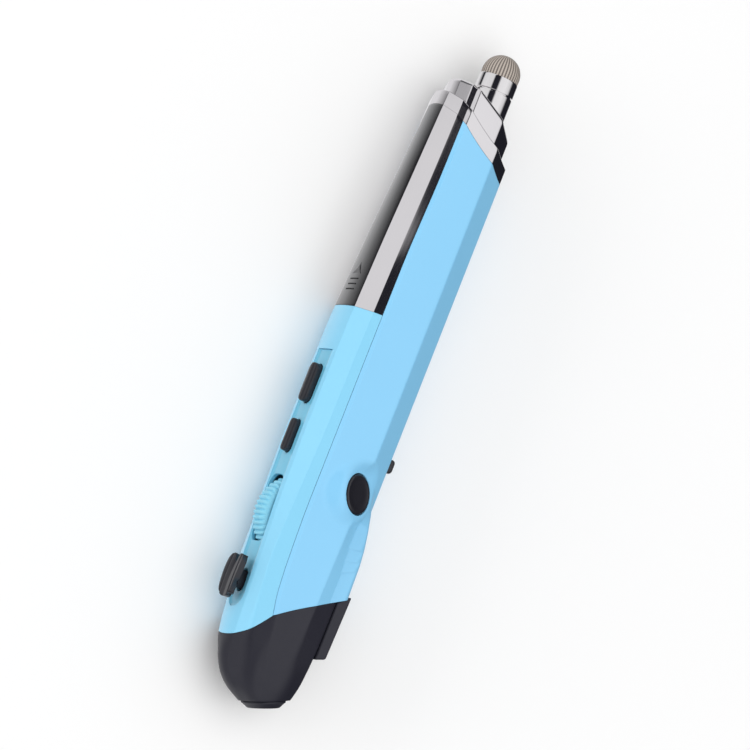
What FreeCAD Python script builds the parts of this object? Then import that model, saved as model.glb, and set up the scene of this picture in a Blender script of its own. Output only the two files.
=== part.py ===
import FreeCAD, Part

import math
import os

from FreeCAD import Vector

# Cordless pen mouse with a stylus end.  The pen is built lengthwise: x runs from the sensor tip to
# the stylus end, y is depth (plus towards the key side) and z is width (plus towards the side
# button).  At the end it is turned half a turn about z and lifted, so that the row's +X points to
# the tip, the keys face -Y, and the pen lies on its left side flat with the origin on that flat.

# ---- driving dimensions, millimetres -------------------------------------------------------------
LENGTH = 150.0            # sensor foot to stylus dome
HALF_WIDTH = 9.5          # to the side flats
WALL = 1.2                # moulded shells
SEAM = 0.12               # gap between bodies that slide on each other
NOSE_LEAN = 23.0          # degrees, the sensor foot leans back from square

# Faceted body, one row per station: x, then the corner points (depth, half width) of one half:
# front edge, shoulder, seam, side flat front, side flat back, back edge.
BODY_STATIONS = [
    (13.0, (8.7, 3.9), (7.0, 6.9), (3.2, 8.35), (2.4, 8.6), (-4.3, 8.6), (-9.75, 5.9)),
    (18.0, (9.2, 4.3), (7.7, 7.3), (4.0, 8.85), (3.2, 9.15), (-4.2, 9.15), (-9.8, 6.3)),
    (24.0, (9.6, 4.5), (8.45, 7.4), (5.2, 9.1), (4.35, 9.4), (-4.2, 9.4), (-9.8, 6.3)),
    (32.0, (10.05, 4.6), (8.95, 7.5), (5.8, 9.2), (4.95, 9.5), (-4.3, 9.5), (-9.9, 6.0)),
    (45.0, (10.75, 4.75), (8.65, 7.8), (6.15, 9.2), (5.3, 9.5), (-4.6, 9.5), (-10.95, 3.5)),
    (60.0, (11.05, 4.8), (8.2, 8.1), (6.15, 9.2), (5.3, 9.5), (-4.6, 9.5), (-11.0, 3.3)),
    (78.0, (11.07, 4.8), (8.05, 8.2), (6.15, 9.2), (5.3, 9.5), (-4.6, 9.5), (-11.0, 3.3)),
    (97.5, (10.35, 4.32), (7.65, 8.1), (6.1, 9.2), (5.25, 9.5), (-4.6, 9.5), (-11.0, 3.3)),
    (118.7, (9.15, 3.75), (6.9, 8.0), (6.0, 9.1), (5.1, 9.5), (-4.6, 9.5), (-11.0, 3.3)),
    (141.0, (7.85, 3.1), (6.3, 7.7), (5.4, 9.0), (4.6, 9.5), (-4.6, 9.5), (-11.0, 3.3)),
]
CORNER_RADIUS = 0.9

# Rounded nose, one row per station: x, front depth, back depth, half width.
NOSE_STATIONS = [
    (0.0, -1.9, -8.0, 3.5),
    (3.0, 3.95, -9.4, 5.3),
    (5.5, 6.3, -9.8, 6.4),
    (8.8, 7.95, -9.9, 7.5),
]
NOSE_ANGLES = (20.0, 48.0, 66.0, 80.0, 116.0, 152.0)

# Parting line between the black nose and the blue shells, as (x, depth) seen from the side.
PARTING_FRONT = ((12.2, 9.2), (14.2, 7.35), (18.9, 4.1))
PARTING_REAR = ((18.9, 4.1), (22.6, -1.2), (26.9, -8.9))
PARTING_KEEL = ((26.9, -8.9), (28.5, -11.0), (30.1, -13.6))

PANEL_START = 86.3        # lower edge of the battery cover
CROWN_BASE = (123.6, 128.1, 134.2)   # x of the crown's lower seam at back, middle and front
CROWN_DEPTHS = (-11.0, 0.0, 8.8)
RING_HEIGHT = 3.5
CAP_INSET = 1.6
CAP_HEIGHT = 6.5
CAP_SLOPE = 0.5
BOARD_SCREWS = ((53.0, 2.4), (74.5, -2.4))   # x and side of the screws through the main board

FOOT_TOP = (2.85, -5.1)   # centre of the foot's seam with the nose (x, depth)
FOOT_RADII = (4.9, 4.7)   # along the lean and across, at the seam
FOOT_HEIGHT = 1.6
FOOT_CHAMFER = 1.25
WINDOW_RADIUS = 2.2

STRIP = (18.3, 76.2)      # key strip inlay, lower and upper end
STRIP_HALF_WIDTH = 3.3
STRIP_SINK = 0.15
STRIP_THICKNESS = 1.2

PAGE_KEYS = {"page_up_key": (68.3, 8.7, 3.1, 1.85), "page_down_key": (56.4, 7.3, 2.5, 1.6)}
KEY_GAP = 0.3
KEY_TRAVEL = 0.5

WHEEL_X = 40.4
WHEEL_RADIUS = 9.3
WHEEL_WIDTH = 5.0
WHEEL_DEPTH = 3.2
WHEEL_RIBS = 50
WHEEL_RIB_DEPTH = 0.45
WHEEL_SLOT = (15.6, 5.8)
AXLE_RADIUS = 1.0
AXLE_FIT = 0.06

ROCKER_X = 24.2
ROCKER_SIZE = (9.6, 6.6, 1.1)        # along the pen, across, thick
ROCKER_RISE = 3.4
ROCKER_VEE = 0.35
ROCKER_PIVOT_DEPTH = 6.7
ROCKER_STEM = (4.2, 2.2)

BUTTON_CENTRE = Vector(49.6, -3.7, 9.95)
BUTTON_RADIUS = 4.2
BUTTON_TURN = 20.0        # degrees from the side flat towards the back
BUTTON_TILT = 8.0         # degrees towards the stylus end

KNOB_X = 59.1
KNOB_LENGTH = 3.1
KNOB_TRAVEL = 2.0

KEEL_HALF_WIDTH = 6.3
KEEL_SEAT = -9.95         # depth of the plane that the receiver lies on
KEEL_TIP = (14.3, -12.3)
KEEL_END = (30.0, -12.75)
PLUG = (12.0, 1.7, 11.4)  # width, thickness, length of the receiver's plug blade

BATTERY_RADIUS = 5.2
BATTERY_START = 82.6
BATTERY_LENGTH = 44.5
BATTERY_DEPTH = -2.6

STYLUS_DEPTH = -3.2
STYLUS_RADIUS = 4.25
STYLUS_JOINTS = (131.5, 141.3, 144.9)

KEY_BOARD = (4.0, 4.8)    # depth of its two faces
MAIN_BOARD = (-8.0, -7.0)

AXIS_X = Vector(1, 0, 0)
AXIS_Y = Vector(0, 1, 0)
AXIS_Z = Vector(0, 0, 1)


# ---- section and solid helpers -------------------------------------------------------------------
def all_stations():
    """Every station as x and its six half corners, the rounded nose first."""
    stations = []
    for x, front, back, half_width in NOSE_STATIONS:
        middle = (front + back) / 2
        reach = (front - back) / 2
        swell = 1.04
        corners = []
        for angle in NOSE_ANGLES:
            turn = math.radians(angle)
            corners.append((middle + reach * swell * math.cos(turn),
                            min(half_width, half_width * swell * math.sin(turn))))
        stations.append((x, corners))
    for row in BODY_STATIONS:
        stations.append((row[0], list(row[1:])))
    return stations


def corner_at(x, index):
    """Depth and half width of one corner line of the body at x."""
    stations = all_stations()
    for (x0, low), (x1, high) in zip(stations, stations[1:]):
        if x0 <= x <= x1:
            share = (x - x0) / (x1 - x0)
            depth = low[index][0] + share * (high[index][0] - low[index][0])
            width = low[index][1] + share * (high[index][1] - low[index][1])
            return depth, width
    return stations[-1][1][index]


def full_outline(half, keep_seam=True):
    """The closed outline: the right half from front to back, then the left half."""
    corners = [corner for i, corner in enumerate(half) if keep_seam or i != 2]
    return corners + [(depth, -width) for depth, width in reversed(corners)]


def inset_outline(points, inset):
    """Moves every side of a closed convex outline inwards and joins the sides again."""
    sides = []
    count = len(points)
    for i in range(count):
        (y0, z0), (y1, z1) = points[i], points[(i + 1) % count]
        length = math.hypot(y1 - y0, z1 - z0)
        normal = ((z0 - z1) / length, (y1 - y0) / length)
        centre = sum(p[0] for p in points) / count
        if normal[0] * (centre - y0) + normal[1] * (0.0 - z0) < 0:
            normal = (-normal[0], -normal[1])
        sides.append((normal, normal[0] * y0 + normal[1] * z0 + inset))
    moved = []
    for i in range(count):
        (n0, d0), (n1, d1) = sides[i - 1], sides[i]
        det = n0[0] * n1[1] - n0[1] * n1[0]
        moved.append(((d0 * n1[1] - d1 * n0[1]) / det, (n0[0] * d1 - n1[0] * d0) / det))
    return moved


def rounded_wire(x, points, radius):
    """Closed wire across the pen at x, its corners rounded as far as its sides allow."""
    count = len(points)
    arcs = []
    for i in range(count):
        here = Vector(x, points[i][0], points[i][1])
        before = Vector(x, points[i - 1][0], points[i - 1][1]) - here
        after = Vector(x, points[(i + 1) % count][0], points[(i + 1) % count][1]) - here
        turn = math.pi - before.getAngle(after)
        trim = min(radius * math.tan(turn / 2), 0.45 * before.Length, 0.45 * after.Length)
        before.normalize()
        after.normalize()
        bend = trim / math.tan(turn / 2)
        middle = before + after
        middle.normalize()
        middle = here + middle * (bend / math.cos(turn / 2) - bend)
        arcs.append((here + before * trim, middle, here + after * trim))
    edges = []
    for i in range(count):
        start, middle, end = arcs[i]
        edges.append(Part.Arc(start, middle, end).toShape())
        edges.append(Part.makeLine(end, arcs[(i + 1) % count][0]))
    return Part.Wire(edges)


def sharp_wire(x, points):
    corners = [Vector(x, y, z) for y, z in points]
    return Part.makePolygon(corners + corners[:1])


def body_form():
    """The pen's outer form, one facet strip between each two stations."""
    wires = [rounded_wire(x, full_outline(half), CORNER_RADIUS) for x, half in all_stations()]
    return Part.makeLoft(wires, True, True)


def body_core(inset, start):
    """The same form moved inwards with plain corners, from the first station past start."""
    wires = []
    for x, half in all_stations():
        if x >= start:
            wires.append(sharp_wire(x, inset_outline(full_outline(half, inset < 1.5), inset)))
    return Part.makeLoft(wires, True, True)


def side_prism(edges, half_width=15.0):
    """A solid with the given outline seen from the side, through the whole width."""
    face = Part.Face(Part.Wire(edges))
    face.translate(Vector(0, 0, -half_width))
    return face.extrude(Vector(0, 0, 2 * half_width))


def side_polygon(points, half_width=15.0):
    """The same, from straight sides only."""
    corners = [Vector(x, y, 0) for x, y in points]
    return side_prism(Part.makePolygon(corners + corners[:1]).Edges, half_width)


def side_arc(points):
    """Arc through three (x, depth) points."""
    return Part.Arc(*[Vector(x, y, 0) for x, y in points]).toShape()


def block(x, y, z):
    """Box from three (low, high) pairs."""
    return Part.makeBox(x[1] - x[0], y[1] - y[0], z[1] - z[0], Vector(x[0], y[0], z[0]))


def cylinder(radius, start, direction, length):
    return Part.makeCylinder(radius, length, start, direction)


def front_stadium(centre, length, width, depth):
    """Round-ended column along the depth axis, over the (low, high) depth range."""
    radius = width / 2
    reach = length / 2 - radius
    low, high = depth
    column = block((centre - reach, centre + reach), (low, high), (-radius, radius))
    for x in (centre - reach, centre + reach):
        column = column.fuse(cylinder(radius, Vector(x, low, 0), AXIS_Y, high - low))
    return column.removeSplitter()


# ---- shared forms --------------------------------------------------------------------------------
def foot_axis():
    """Unit vector from the pen out through the sensor foot."""
    lean = math.radians(NOSE_LEAN)
    return Vector(-math.cos(lean), -math.sin(lean), 0)


def foot_ellipse(offset, shrink):
    """Ellipse across the foot's axis, offset outwards from its seam and smaller by shrink."""
    axis = foot_axis()
    centre = Vector(FOOT_TOP[0], FOOT_TOP[1], 0) + axis * offset
    along = Vector(-axis.y, axis.x, 0)
    major = FOOT_RADII[0] - shrink
    minor = FOOT_RADII[1] - shrink
    curve = Part.Ellipse(centre + along * major, centre + AXIS_Z * minor, centre)
    return Part.Wire(curve.toShape())


def beyond_foot_seam():
    """Everything on the tip side of the seam between nose and foot."""
    axis = foot_axis()
    centre = Vector(FOOT_TOP[0], FOOT_TOP[1], 0)
    slab = Part.makeCylinder(20, 20, centre, axis)
    return slab


def nose_side():
    """Everything on the tip side of the black and blue parting line."""
    first = PARTING_FRONT[0]
    last = PARTING_KEEL[2]
    edges = [
        Part.makeLine(Vector(-6, 16, 0), Vector(first[0], 16, 0)),
        Part.makeLine(Vector(first[0], 16, 0), Vector(first[0], first[1], 0)),
        side_arc(PARTING_FRONT),
        side_arc(PARTING_REAR),
        side_arc(PARTING_KEEL),
        Part.makeLine(Vector(last[0], last[1], 0), Vector(last[0], -20, 0)),
        Part.makeLine(Vector(last[0], -20, 0), Vector(-6, -20, 0)),
        Part.makeLine(Vector(-6, -20, 0), Vector(-6, 16, 0)),
    ]
    return side_prism(edges)


def front_side(offset=0.0):
    """Everything on the key side of the long seam."""
    seam = [Vector(x, half[2][0] + offset, 0) for x, half in all_stations() if x > 8.0]
    curve = Part.BSplineCurve()
    curve.interpolate(seam)
    edges = [
        curve.toShape(),
        Part.makeLine(seam[-1], Vector(seam[-1].x, 16, 0)),
        Part.makeLine(Vector(seam[-1].x, 16, 0), Vector(seam[0].x, 16, 0)),
        Part.makeLine(Vector(seam[0].x, 16, 0), seam[0]),
    ]
    return side_prism(edges)


def crown_side(shift):
    """Everything on the stylus side of the crown's slanted seam moved by shift along the pen."""
    points = [(x + shift, y) for x, y in zip(CROWN_BASE, CROWN_DEPTHS)]
    slope_back = (points[0][0] - 0.6, -16.0)
    slope_front = (points[2][0] + 3.4, 16.0)
    edges = [
        Part.makeLine(Vector(*slope_back, 0), Vector(*points[0], 0)),
        side_arc(points),
        Part.makeLine(Vector(*points[2], 0), Vector(*slope_front, 0)),
        Part.makeLine(Vector(*slope_front, 0), Vector(170, 16, 0)),
        Part.makeLine(Vector(170, 16, 0), Vector(170, -16, 0)),
        Part.makeLine(Vector(170, -16, 0), Vector(*slope_back, 0)),
    ]
    return side_prism(edges)


def panel_width_prism(shrink=0.0):
    """Column over the front face between its two edges, for the battery cover's panel."""
    ends = (PANEL_START - 1, 141.0)
    corners = []
    for x in ends:
        corners.append((x, corner_at(x, 0)[1] - shrink))
    for x, width in reversed(corners[:2]):
        corners.append((x, -width))
    outline = [Vector(x, 0, z) for x, z in corners]
    face = Part.Face(Part.makePolygon(outline + outline[:1]))
    return face.extrude(Vector(0, 16, 0))


def keel_block(tip_x, end_x, half_width, top, extra=0.0):
    """The ridge along the back of the nose, from the seat plane out to its sloping outer face."""
    slope = (KEEL_END[1] - KEEL_TIP[1]) / (KEEL_END[0] - KEEL_TIP[0])
    lean = math.tan(math.radians(NOSE_LEAN))

    def outer(x):
        return KEEL_TIP[1] + slope * (x - KEEL_TIP[0]) - extra

    points = [(tip_x, top), (tip_x + lean * (top - outer(tip_x)), outer(tip_x)),
              (end_x, outer(end_x)), (end_x, top)]
    solid = side_polygon(points, half_width)
    long_edges = [e for e in solid.Edges
                  if abs(e.BoundBox.ZMin) > half_width - 0.01 and e.BoundBox.ZLength < 0.01
                  and e.BoundBox.XLength > 5 and e.BoundBox.YMax < top - 1]
    return solid.makeFillet(1.0, long_edges)


def button_axis():
    turn = math.radians(BUTTON_TURN)
    tilt = math.radians(BUTTON_TILT)
    return Vector(math.sin(tilt), -math.sin(turn) * math.cos(tilt), math.cos(turn) * math.cos(tilt))


def button_column(radius, top, bottom):
    """Cylinder on the side button's axis between two heights measured from its top face."""
    axis = button_axis()
    return cylinder(radius, BUTTON_CENTRE + axis * bottom, axis, top - bottom)


OUTER = body_form()
CRISP = body_core(0.0, 78.0)   # the same form with crisp edges, for the bright metal trims
INNER = body_core(WALL, 5.5)
NOSE_SIDE = nose_side()
CROWN = crown_side(0.0)
PARTS = {}


# ---- shells --------------------------------------------------------------------------------------
def strip_column(low, high, grow=0.0):
    """Column with the key strip's outline: square at the top, round at the lower end."""
    half = STRIP_HALF_WIDTH + grow
    centre = STRIP[0] + STRIP_HALF_WIDTH
    column = block((centre, STRIP[1] + grow), (low, high), (-half, half))
    return column.fuse(cylinder(half, Vector(centre, low, 0), AXIS_Y, high - low))


def build_nose():
    shell = OUTER.common(NOSE_SIDE).cut(beyond_foot_seam()).cut(INNER)
    bore = cylinder(3.2, Vector(FOOT_TOP[0], FOOT_TOP[1], 0) - foot_axis() * 9, foot_axis(), 10)
    shell = shell.cut(bore)
    PARTS["nose_shell"] = shell

    axis = foot_axis()
    seam_wire = foot_ellipse(0.0, 0.0)
    shoulder_wire = foot_ellipse(0.45, 0.1)
    rim_wire = foot_ellipse(FOOT_HEIGHT, FOOT_CHAMFER)
    foot = Part.makeLoft([seam_wire, shoulder_wire], True, True)
    foot = foot.fuse(Part.makeLoft([shoulder_wire, rim_wire], True, True))
    centre = Vector(FOOT_TOP[0], FOOT_TOP[1], 0)
    foot = foot.cut(cylinder(WINDOW_RADIUS, centre - axis, axis, 4))
    PARTS["sensor_foot"] = foot.removeSplitter()

    lens = cylinder(WINDOW_RADIUS, centre + axis * 0.1, axis, FOOT_HEIGHT - 0.5)
    lens = lens.fuse(cylinder(3.1, centre - axis * 0.8, axis, 0.8))
    lens = lens.fuse(cylinder(WINDOW_RADIUS, centre - axis * 0.1, axis, 0.4))
    PARTS["sensor_lens"] = lens.removeSplitter()

    sensor_base = centre - axis * 4.8
    sensor = block((-2.6, 2.6), (-2.6, 2.6), (0.0, 2.2))
    sensor.Placement = FreeCAD.Placement(sensor_base, FreeCAD.Rotation(AXIS_Z, -axis))
    PARTS["optical_sensor"] = sensor
    led_start = centre - axis * 4.6 + Vector(0, 0, 4.5)
    PARTS["sensor_led"] = cylinder(0.8, led_start, -axis, 3.2)


def build_shells():
    blue = OUTER.cut(INNER).cut(NOSE_SIDE)
    lower = block((0, PANEL_START), (-16, 16), (-15, 15))
    front = blue.common(front_side()).common(lower)
    strip_hole = strip_column(5.0, 16.0)
    PARTS["front_cover"] = front.cut(strip_hole)

    rear = blue.cut(front_side()).cut(crown_side(-SEAM))
    bulge = keel_block(26.0, 48.0, KEEL_HALF_WIDTH + 0.5, -8.0)
    taper = side_polygon([(20, -6), (20, -13), (36.0, -12.75), (40.0, -12.45), (43.0, -11.9),
                          (47.0, -10.9), (50, -10.0), (50, -6)])
    bulge = bulge.common(taper).cut(NOSE_SIDE).cut(INNER)
    rear = rear.fuse(bulge)
    pad = button_column(BUTTON_RADIUS + 1.1, -0.75, -6.0).cut(INNER)
    rear = rear.fuse(pad)
    half_width = PLUG[0] / 2 + SEAM
    plug_pocket = block((24, KEEL_END[0] + PLUG[2] + 0.6), (KEEL_SEAT - PLUG[1] - 0.25, -9.83),
                        (-half_width, half_width))
    rear = rear.cut(plug_pocket)
    rear = rear.cut(button_column(BUTTON_RADIUS + 0.2, 3.0, -7.0))
    slot = block((KNOB_X - 1.2, KNOB_X + 1.2 + KNOB_TRAVEL), (-16, -8.5), (-1.0, 1.0))
    rear = rear.cut(slot)
    for x, z in BOARD_SCREWS:
        boss = cylinder(1.6, Vector(x, -10.4, z), AXIS_Y, MAIN_BOARD[0] + 10.4)
        rear = rear.fuse(boss)
    for x, z in BOARD_SCREWS:
        rear = rear.cut(cylinder(0.8, Vector(x, -9.6, z), AXIS_Y, 4))
    PARTS["rear_shell"] = rear.removeSplitter()


def build_key_strip():
    slab = body_core(STRIP_SINK, 13.0).cut(body_core(STRIP_SINK + STRIP_THICKNESS, 13.0))
    strip = slab.common(strip_column(5.0, 16.0))
    for x, length, width, _ in PAGE_KEYS.values():
        strip = strip.cut(front_stadium(x, length + 2 * KEY_GAP, width + 2 * KEY_GAP, (4, 16)))
    reach, half = WHEEL_SLOT[0] / 2, WHEEL_SLOT[1] / 2
    slot = block((WHEEL_X - reach, WHEEL_X + reach), (4, 16), (-half, half))
    strip = strip.cut(slot.makeFillet(0.6, [e for e in slot.Edges if e.BoundBox.YLength > 11]))
    stem_hole = front_stadium(ROCKER_X, ROCKER_STEM[0] + 1.0, ROCKER_STEM[1] + 1.0, (4, 16))
    PARTS["key_strip"] = strip.cut(stem_hole)


# ---- keys, wheel and buttons ---------------------------------------------------------------------
def build_page_keys():
    switches = []
    for name, (x, length, width, rise) in PAGE_KEYS.items():
        face = corner_at(x, 0)[0] - STRIP_SINK
        under = face - STRIP_THICKNESS - 0.35
        head = front_stadium(x, length, width, (under, face + rise))
        rims = [e for e in head.Edges if e.BoundBox.YMin > face + rise - 0.01]
        head = head.makeFillet(0.6, rims)
        flange = front_stadium(x, length + 1.6, width + 1.4, (under - 0.8, under))
        PARTS[name] = head.fuse(flange).removeSplitter()
        top = under - 0.8 - KEY_TRAVEL - 0.1
        body = block((x - 2.2, x + 2.2), (KEY_BOARD[1], top - 0.5), (-2.2, 2.2))
        switches.append(body.fuse(cylinder(0.9, Vector(x, top - 0.6, 0), AXIS_Y, 0.6)))
    PARTS["page_switches"] = Part.makeCompound(switches)


def build_wheel():
    centre = Vector(WHEEL_X, WHEEL_DEPTH, 0)
    half = WHEEL_WIDTH / 2
    wheel = cylinder(WHEEL_RADIUS - WHEEL_RIB_DEPTH, centre - AXIS_Z * half, AXIS_Z, WHEEL_WIDTH)
    edge_round = wheel.makeFillet(0.5, [e for e in wheel.Edges if e.BoundBox.XLength > 5])
    rib_length = WHEEL_WIDTH - 1.0
    ribs = []
    for i in range(WHEEL_RIBS):
        rib = block((WHEEL_RADIUS - 0.9, WHEEL_RADIUS), (-0.3, 0.3), (-rib_length / 2, rib_length / 2))
        rib.rotate(Vector(0, 0, 0), AXIS_Z, i * 360.0 / WHEEL_RIBS)
        rib.translate(centre)
        ribs.append(rib)
    wheel = edge_round.multiFuse(ribs)
    for side in (-1, 1):
        start = centre + AXIS_Z * (side * (half - 1.2))
        cheek = cylinder(6.4, start, AXIS_Z * side, 3).cut(cylinder(2.4, start, AXIS_Z * side, 3))
        wheel = wheel.cut(cheek)
    wheel = wheel.cut(cylinder(AXLE_RADIUS, centre - AXIS_Z * 5, AXIS_Z, 10))
    PARTS["scroll_wheel"] = wheel.removeSplitter()
    PARTS["wheel_axle"] = cylinder(AXLE_RADIUS, centre - AXIS_Z * 5.3, AXIS_Z, 10.6)

    arms = []
    for side in (-1, 1):
        z = sorted((side * 4.0, side * 5.0))
        arm = block((WHEEL_X - 2.2, WHEEL_X + 2.2), (MAIN_BOARD[1], WHEEL_DEPTH + 2.2), z)
        arms.append(arm.cut(cylinder(AXLE_RADIUS + AXLE_FIT, centre - AXIS_Z * 8, AXIS_Z, 16)))
    foot = block((WHEEL_X - 2.2, WHEEL_X + 2.2), (MAIN_BOARD[1], MAIN_BOARD[1] + 0.7), (-5.0, 5.0))
    foot = foot.cut(cylinder(WHEEL_RADIUS + 0.3, centre - AXIS_Z * 8, AXIS_Z, 16))
    carrier = foot.fuse(arms)
    PARTS["wheel_carrier"] = carrier.removeSplitter()
    PARTS["wheel_encoder"] = block((WHEEL_X - 3.0, WHEEL_X + 3.0), (WHEEL_DEPTH - 3, WHEEL_DEPTH + 2.6),
                                   (5.45, 7.6))


def build_rocker():
    length, width, thick = ROCKER_SIZE
    face = corner_at(ROCKER_X, 0)[0]
    crest = face + ROCKER_RISE
    half = width / 2
    gull = [(-half, crest), (0, crest - ROCKER_VEE), (half, crest),
            (half - 0.5, crest - thick), (0, crest - thick - ROCKER_VEE), (0.5 - half, crest - thick)]
    outline = [Vector(ROCKER_X - length / 2, y, z) for z, y in gull]
    wings = Part.Face(Part.makePolygon(outline + outline[:1])).extrude(Vector(length, 0, 0))
    plan = block((ROCKER_X - length / 2 + half, ROCKER_X + length / 2), (0, 16), (-half, half))
    plan = plan.fuse(cylinder(half, Vector(ROCKER_X - length / 2 + half, 0, 0), AXIS_Y, 16))
    notch = Part.makePolygon([Vector(ROCKER_X + length / 2 - 1.3, 0, 0),
                              Vector(ROCKER_X + length / 2 + 1, 0, -2.2),
                              Vector(ROCKER_X + length / 2 + 1, 0, 2.2),
                              Vector(ROCKER_X + length / 2 - 1.3, 0, 0)])
    plan = plan.cut(Part.Face(notch).extrude(Vector(0, 16, 0)))
    wings = wings.common(plan)
    stem = front_stadium(ROCKER_X, ROCKER_STEM[0], ROCKER_STEM[1],
                         (ROCKER_PIVOT_DEPTH, crest - thick))
    hub_start = Vector(ROCKER_X - 2.6, ROCKER_PIVOT_DEPTH, 0)
    hub = cylinder(1.1, hub_start, AXIS_X, 5.2)
    arm = block((ROCKER_X - 1.4, ROCKER_X + 1.4),
                (ROCKER_PIVOT_DEPTH - 0.5, ROCKER_PIVOT_DEPTH + 0.3), (-4.0, 4.0))
    key = wings.fuse([stem, hub, arm])
    key = key.cut(cylinder(0.6, hub_start - AXIS_X * 2, AXIS_X, 10))
    PARTS["rocker_key"] = key.removeSplitter()
    pin = cylinder(0.55, hub_start - AXIS_X * 1.3, AXIS_X, 7.8)
    PARTS["rocker_pin"] = pin
    posts = []
    for start, end in ((hub_start.x - 1.3, hub_start.x - 0.3), (hub_start.x + 5.5, hub_start.x + 6.5)):
        post = block((start, end), (KEY_BOARD[1], ROCKER_PIVOT_DEPTH + 0.9), (-1.3, 1.3))
        posts.append(post.cut(pin))
    PARTS["rocker_posts"] = Part.makeCompound(posts)
    for name, side in (("left_switch", -1), ("right_switch", 1)):
        z = sorted((side * 1.5, side * 4.6))
        top = ROCKER_PIVOT_DEPTH - 0.85
        body = block((ROCKER_X - 1.9, ROCKER_X + 1.9), (KEY_BOARD[1], top - 0.4), z)
        dome = cylinder(0.7, Vector(ROCKER_X, top - 0.5, side * 3.0), AXIS_Y, 0.5)
        PARTS[name] = body.fuse(dome)


def build_side_button():
    cap = button_column(BUTTON_RADIUS, 0.0, -4.4)
    cap = cap.makeFillet(0.5, [e for e in cap.Edges if e.BoundBox.ZMax > BUTTON_CENTRE.z + 0.3
                               and e.Curve.TypeId == "Part::GeomCircle"][:1])
    flange = button_column(BUTTON_RADIUS + 0.8, -4.4, -5.2)
    hollow = button_column(BUTTON_RADIUS - 1.2, -1.4, -5.3)
    pusher = button_column(1.0, -1.0, -5.2)
    PARTS["side_button"] = cap.fuse(flange).cut(hollow).fuse(pusher).removeSplitter()
    switch = button_column(1.8, -6.3, -7.3)
    switch = switch.fuse(button_column(0.8, -5.8, -6.4))
    PARTS["side_switch"] = switch
    bracket = block((47.0, 50.8), (MAIN_BOARD[1], -3.9), (1.9, 2.5))
    bracket = bracket.fuse(block((47.0, 50.8), (-4.5, 1.2), (2.75, 3.2)))
    bracket = bracket.fuse(block((47.0, 50.8), (-4.5, -3.9), (1.9, 3.2)))
    PARTS["side_bracket"] = bracket.cut(switch)


def build_power_switch():
    back = -11.0
    knob = block((KNOB_X - KNOB_LENGTH / 2, KNOB_X + KNOB_LENGTH / 2), (back - 2.0, back - 0.15),
                 (-1.6, 1.6))
    rims = [e for e in knob.Edges if e.BoundBox.YMax < back - 1.9]
    knob = knob.makeFillet(0.9, rims)
    neck = block((KNOB_X - 1.05, KNOB_X + 1.05), (back - 0.5, back + 1.5), (-0.85, 0.85))
    plate = block((KNOB_X - 2.6, KNOB_X + 2.6), (back + 1.4, back + 1.9), (-2.4, 2.4))
    PARTS["power_slider"] = knob.fuse([neck, plate]).removeSplitter()
    PARTS["power_switch"] = block((KNOB_X - 3.4, KNOB_X + 5.0), (back + 2.1, MAIN_BOARD[0]), (-1.9, 1.9))


# ---- receiver ------------------------------------------------------------------------------------
def build_receiver():
    body = keel_block(KEEL_TIP[0], 34.0, KEEL_HALF_WIDTH, KEEL_SEAT)
    keep = NOSE_SIDE.copy()
    keep.translate(Vector(-SEAM, 0, 0))
    PARTS["receiver_body"] = body.common(keep)
    half_width = PLUG[0] / 2
    blade = block((26.5, KEEL_END[0] + PLUG[2]), (KEEL_SEAT - PLUG[1] - 0.1, KEEL_SEAT - 0.1),
                  (-half_width, half_width))
    blade = blade.cut(PARTS["receiver_body"])
    pieces = sorted(blade.Solids, key=lambda solid: solid.Volume)
    PARTS["receiver_plug"] = pieces[-1]


# ---- boards and battery --------------------------------------------------------------------------
def build_boards():
    main = block((15.0, 76.6), MAIN_BOARD, (-4.0, 4.0))
    for x, z in BOARD_SCREWS:
        main = main.cut(cylinder(0.85, Vector(x, MAIN_BOARD[0] - 1, z), AXIS_Y, 3))
    PARTS["main_board"] = main
    screws = []
    for x, z in BOARD_SCREWS:
        shank = cylinder(0.8, Vector(x, -9.5, z), AXIS_Y, MAIN_BOARD[1] + 9.5)
        head = cylinder(1.5, Vector(x, MAIN_BOARD[1], z), AXIS_Y, 0.9)
        slot = block((x - 0.2, x + 0.2), (MAIN_BOARD[1] + 0.5, MAIN_BOARD[1] + 2), (z - 1.2, z + 1.2))
        cross = block((x - 1.2, x + 1.2), (MAIN_BOARD[1] + 0.5, MAIN_BOARD[1] + 2), (z - 0.2, z + 0.2))
        screws.append(shank.fuse(head).cut(slot).cut(cross))
    PARTS["board_screws"] = Part.makeCompound(screws)
    keys = block((16.5, 75.5), KEY_BOARD, (-6.6, 6.6))
    keys = keys.cut(block((WHEEL_X - WHEEL_RADIUS - 1, WHEEL_X + WHEEL_RADIUS + 1), (0, 8), (-5.5, 8)))
    PARTS["key_board"] = keys


def helix_spring(centre, radius, wire_radius, pitch, height):
    """Round-wire coil along the pen from the given start point."""
    path = Part.makeHelix(pitch, height, radius)
    circle = Part.Circle(Vector(radius, 0, 0), Vector(0, 1, 0), wire_radius).toShape()
    coil = Part.Wire(path).makePipeShell([Part.Wire(circle)], True, True)
    coil.rotate(Vector(0, 0, 0), AXIS_Y, 90)
    coil.translate(centre)
    return coil


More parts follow.
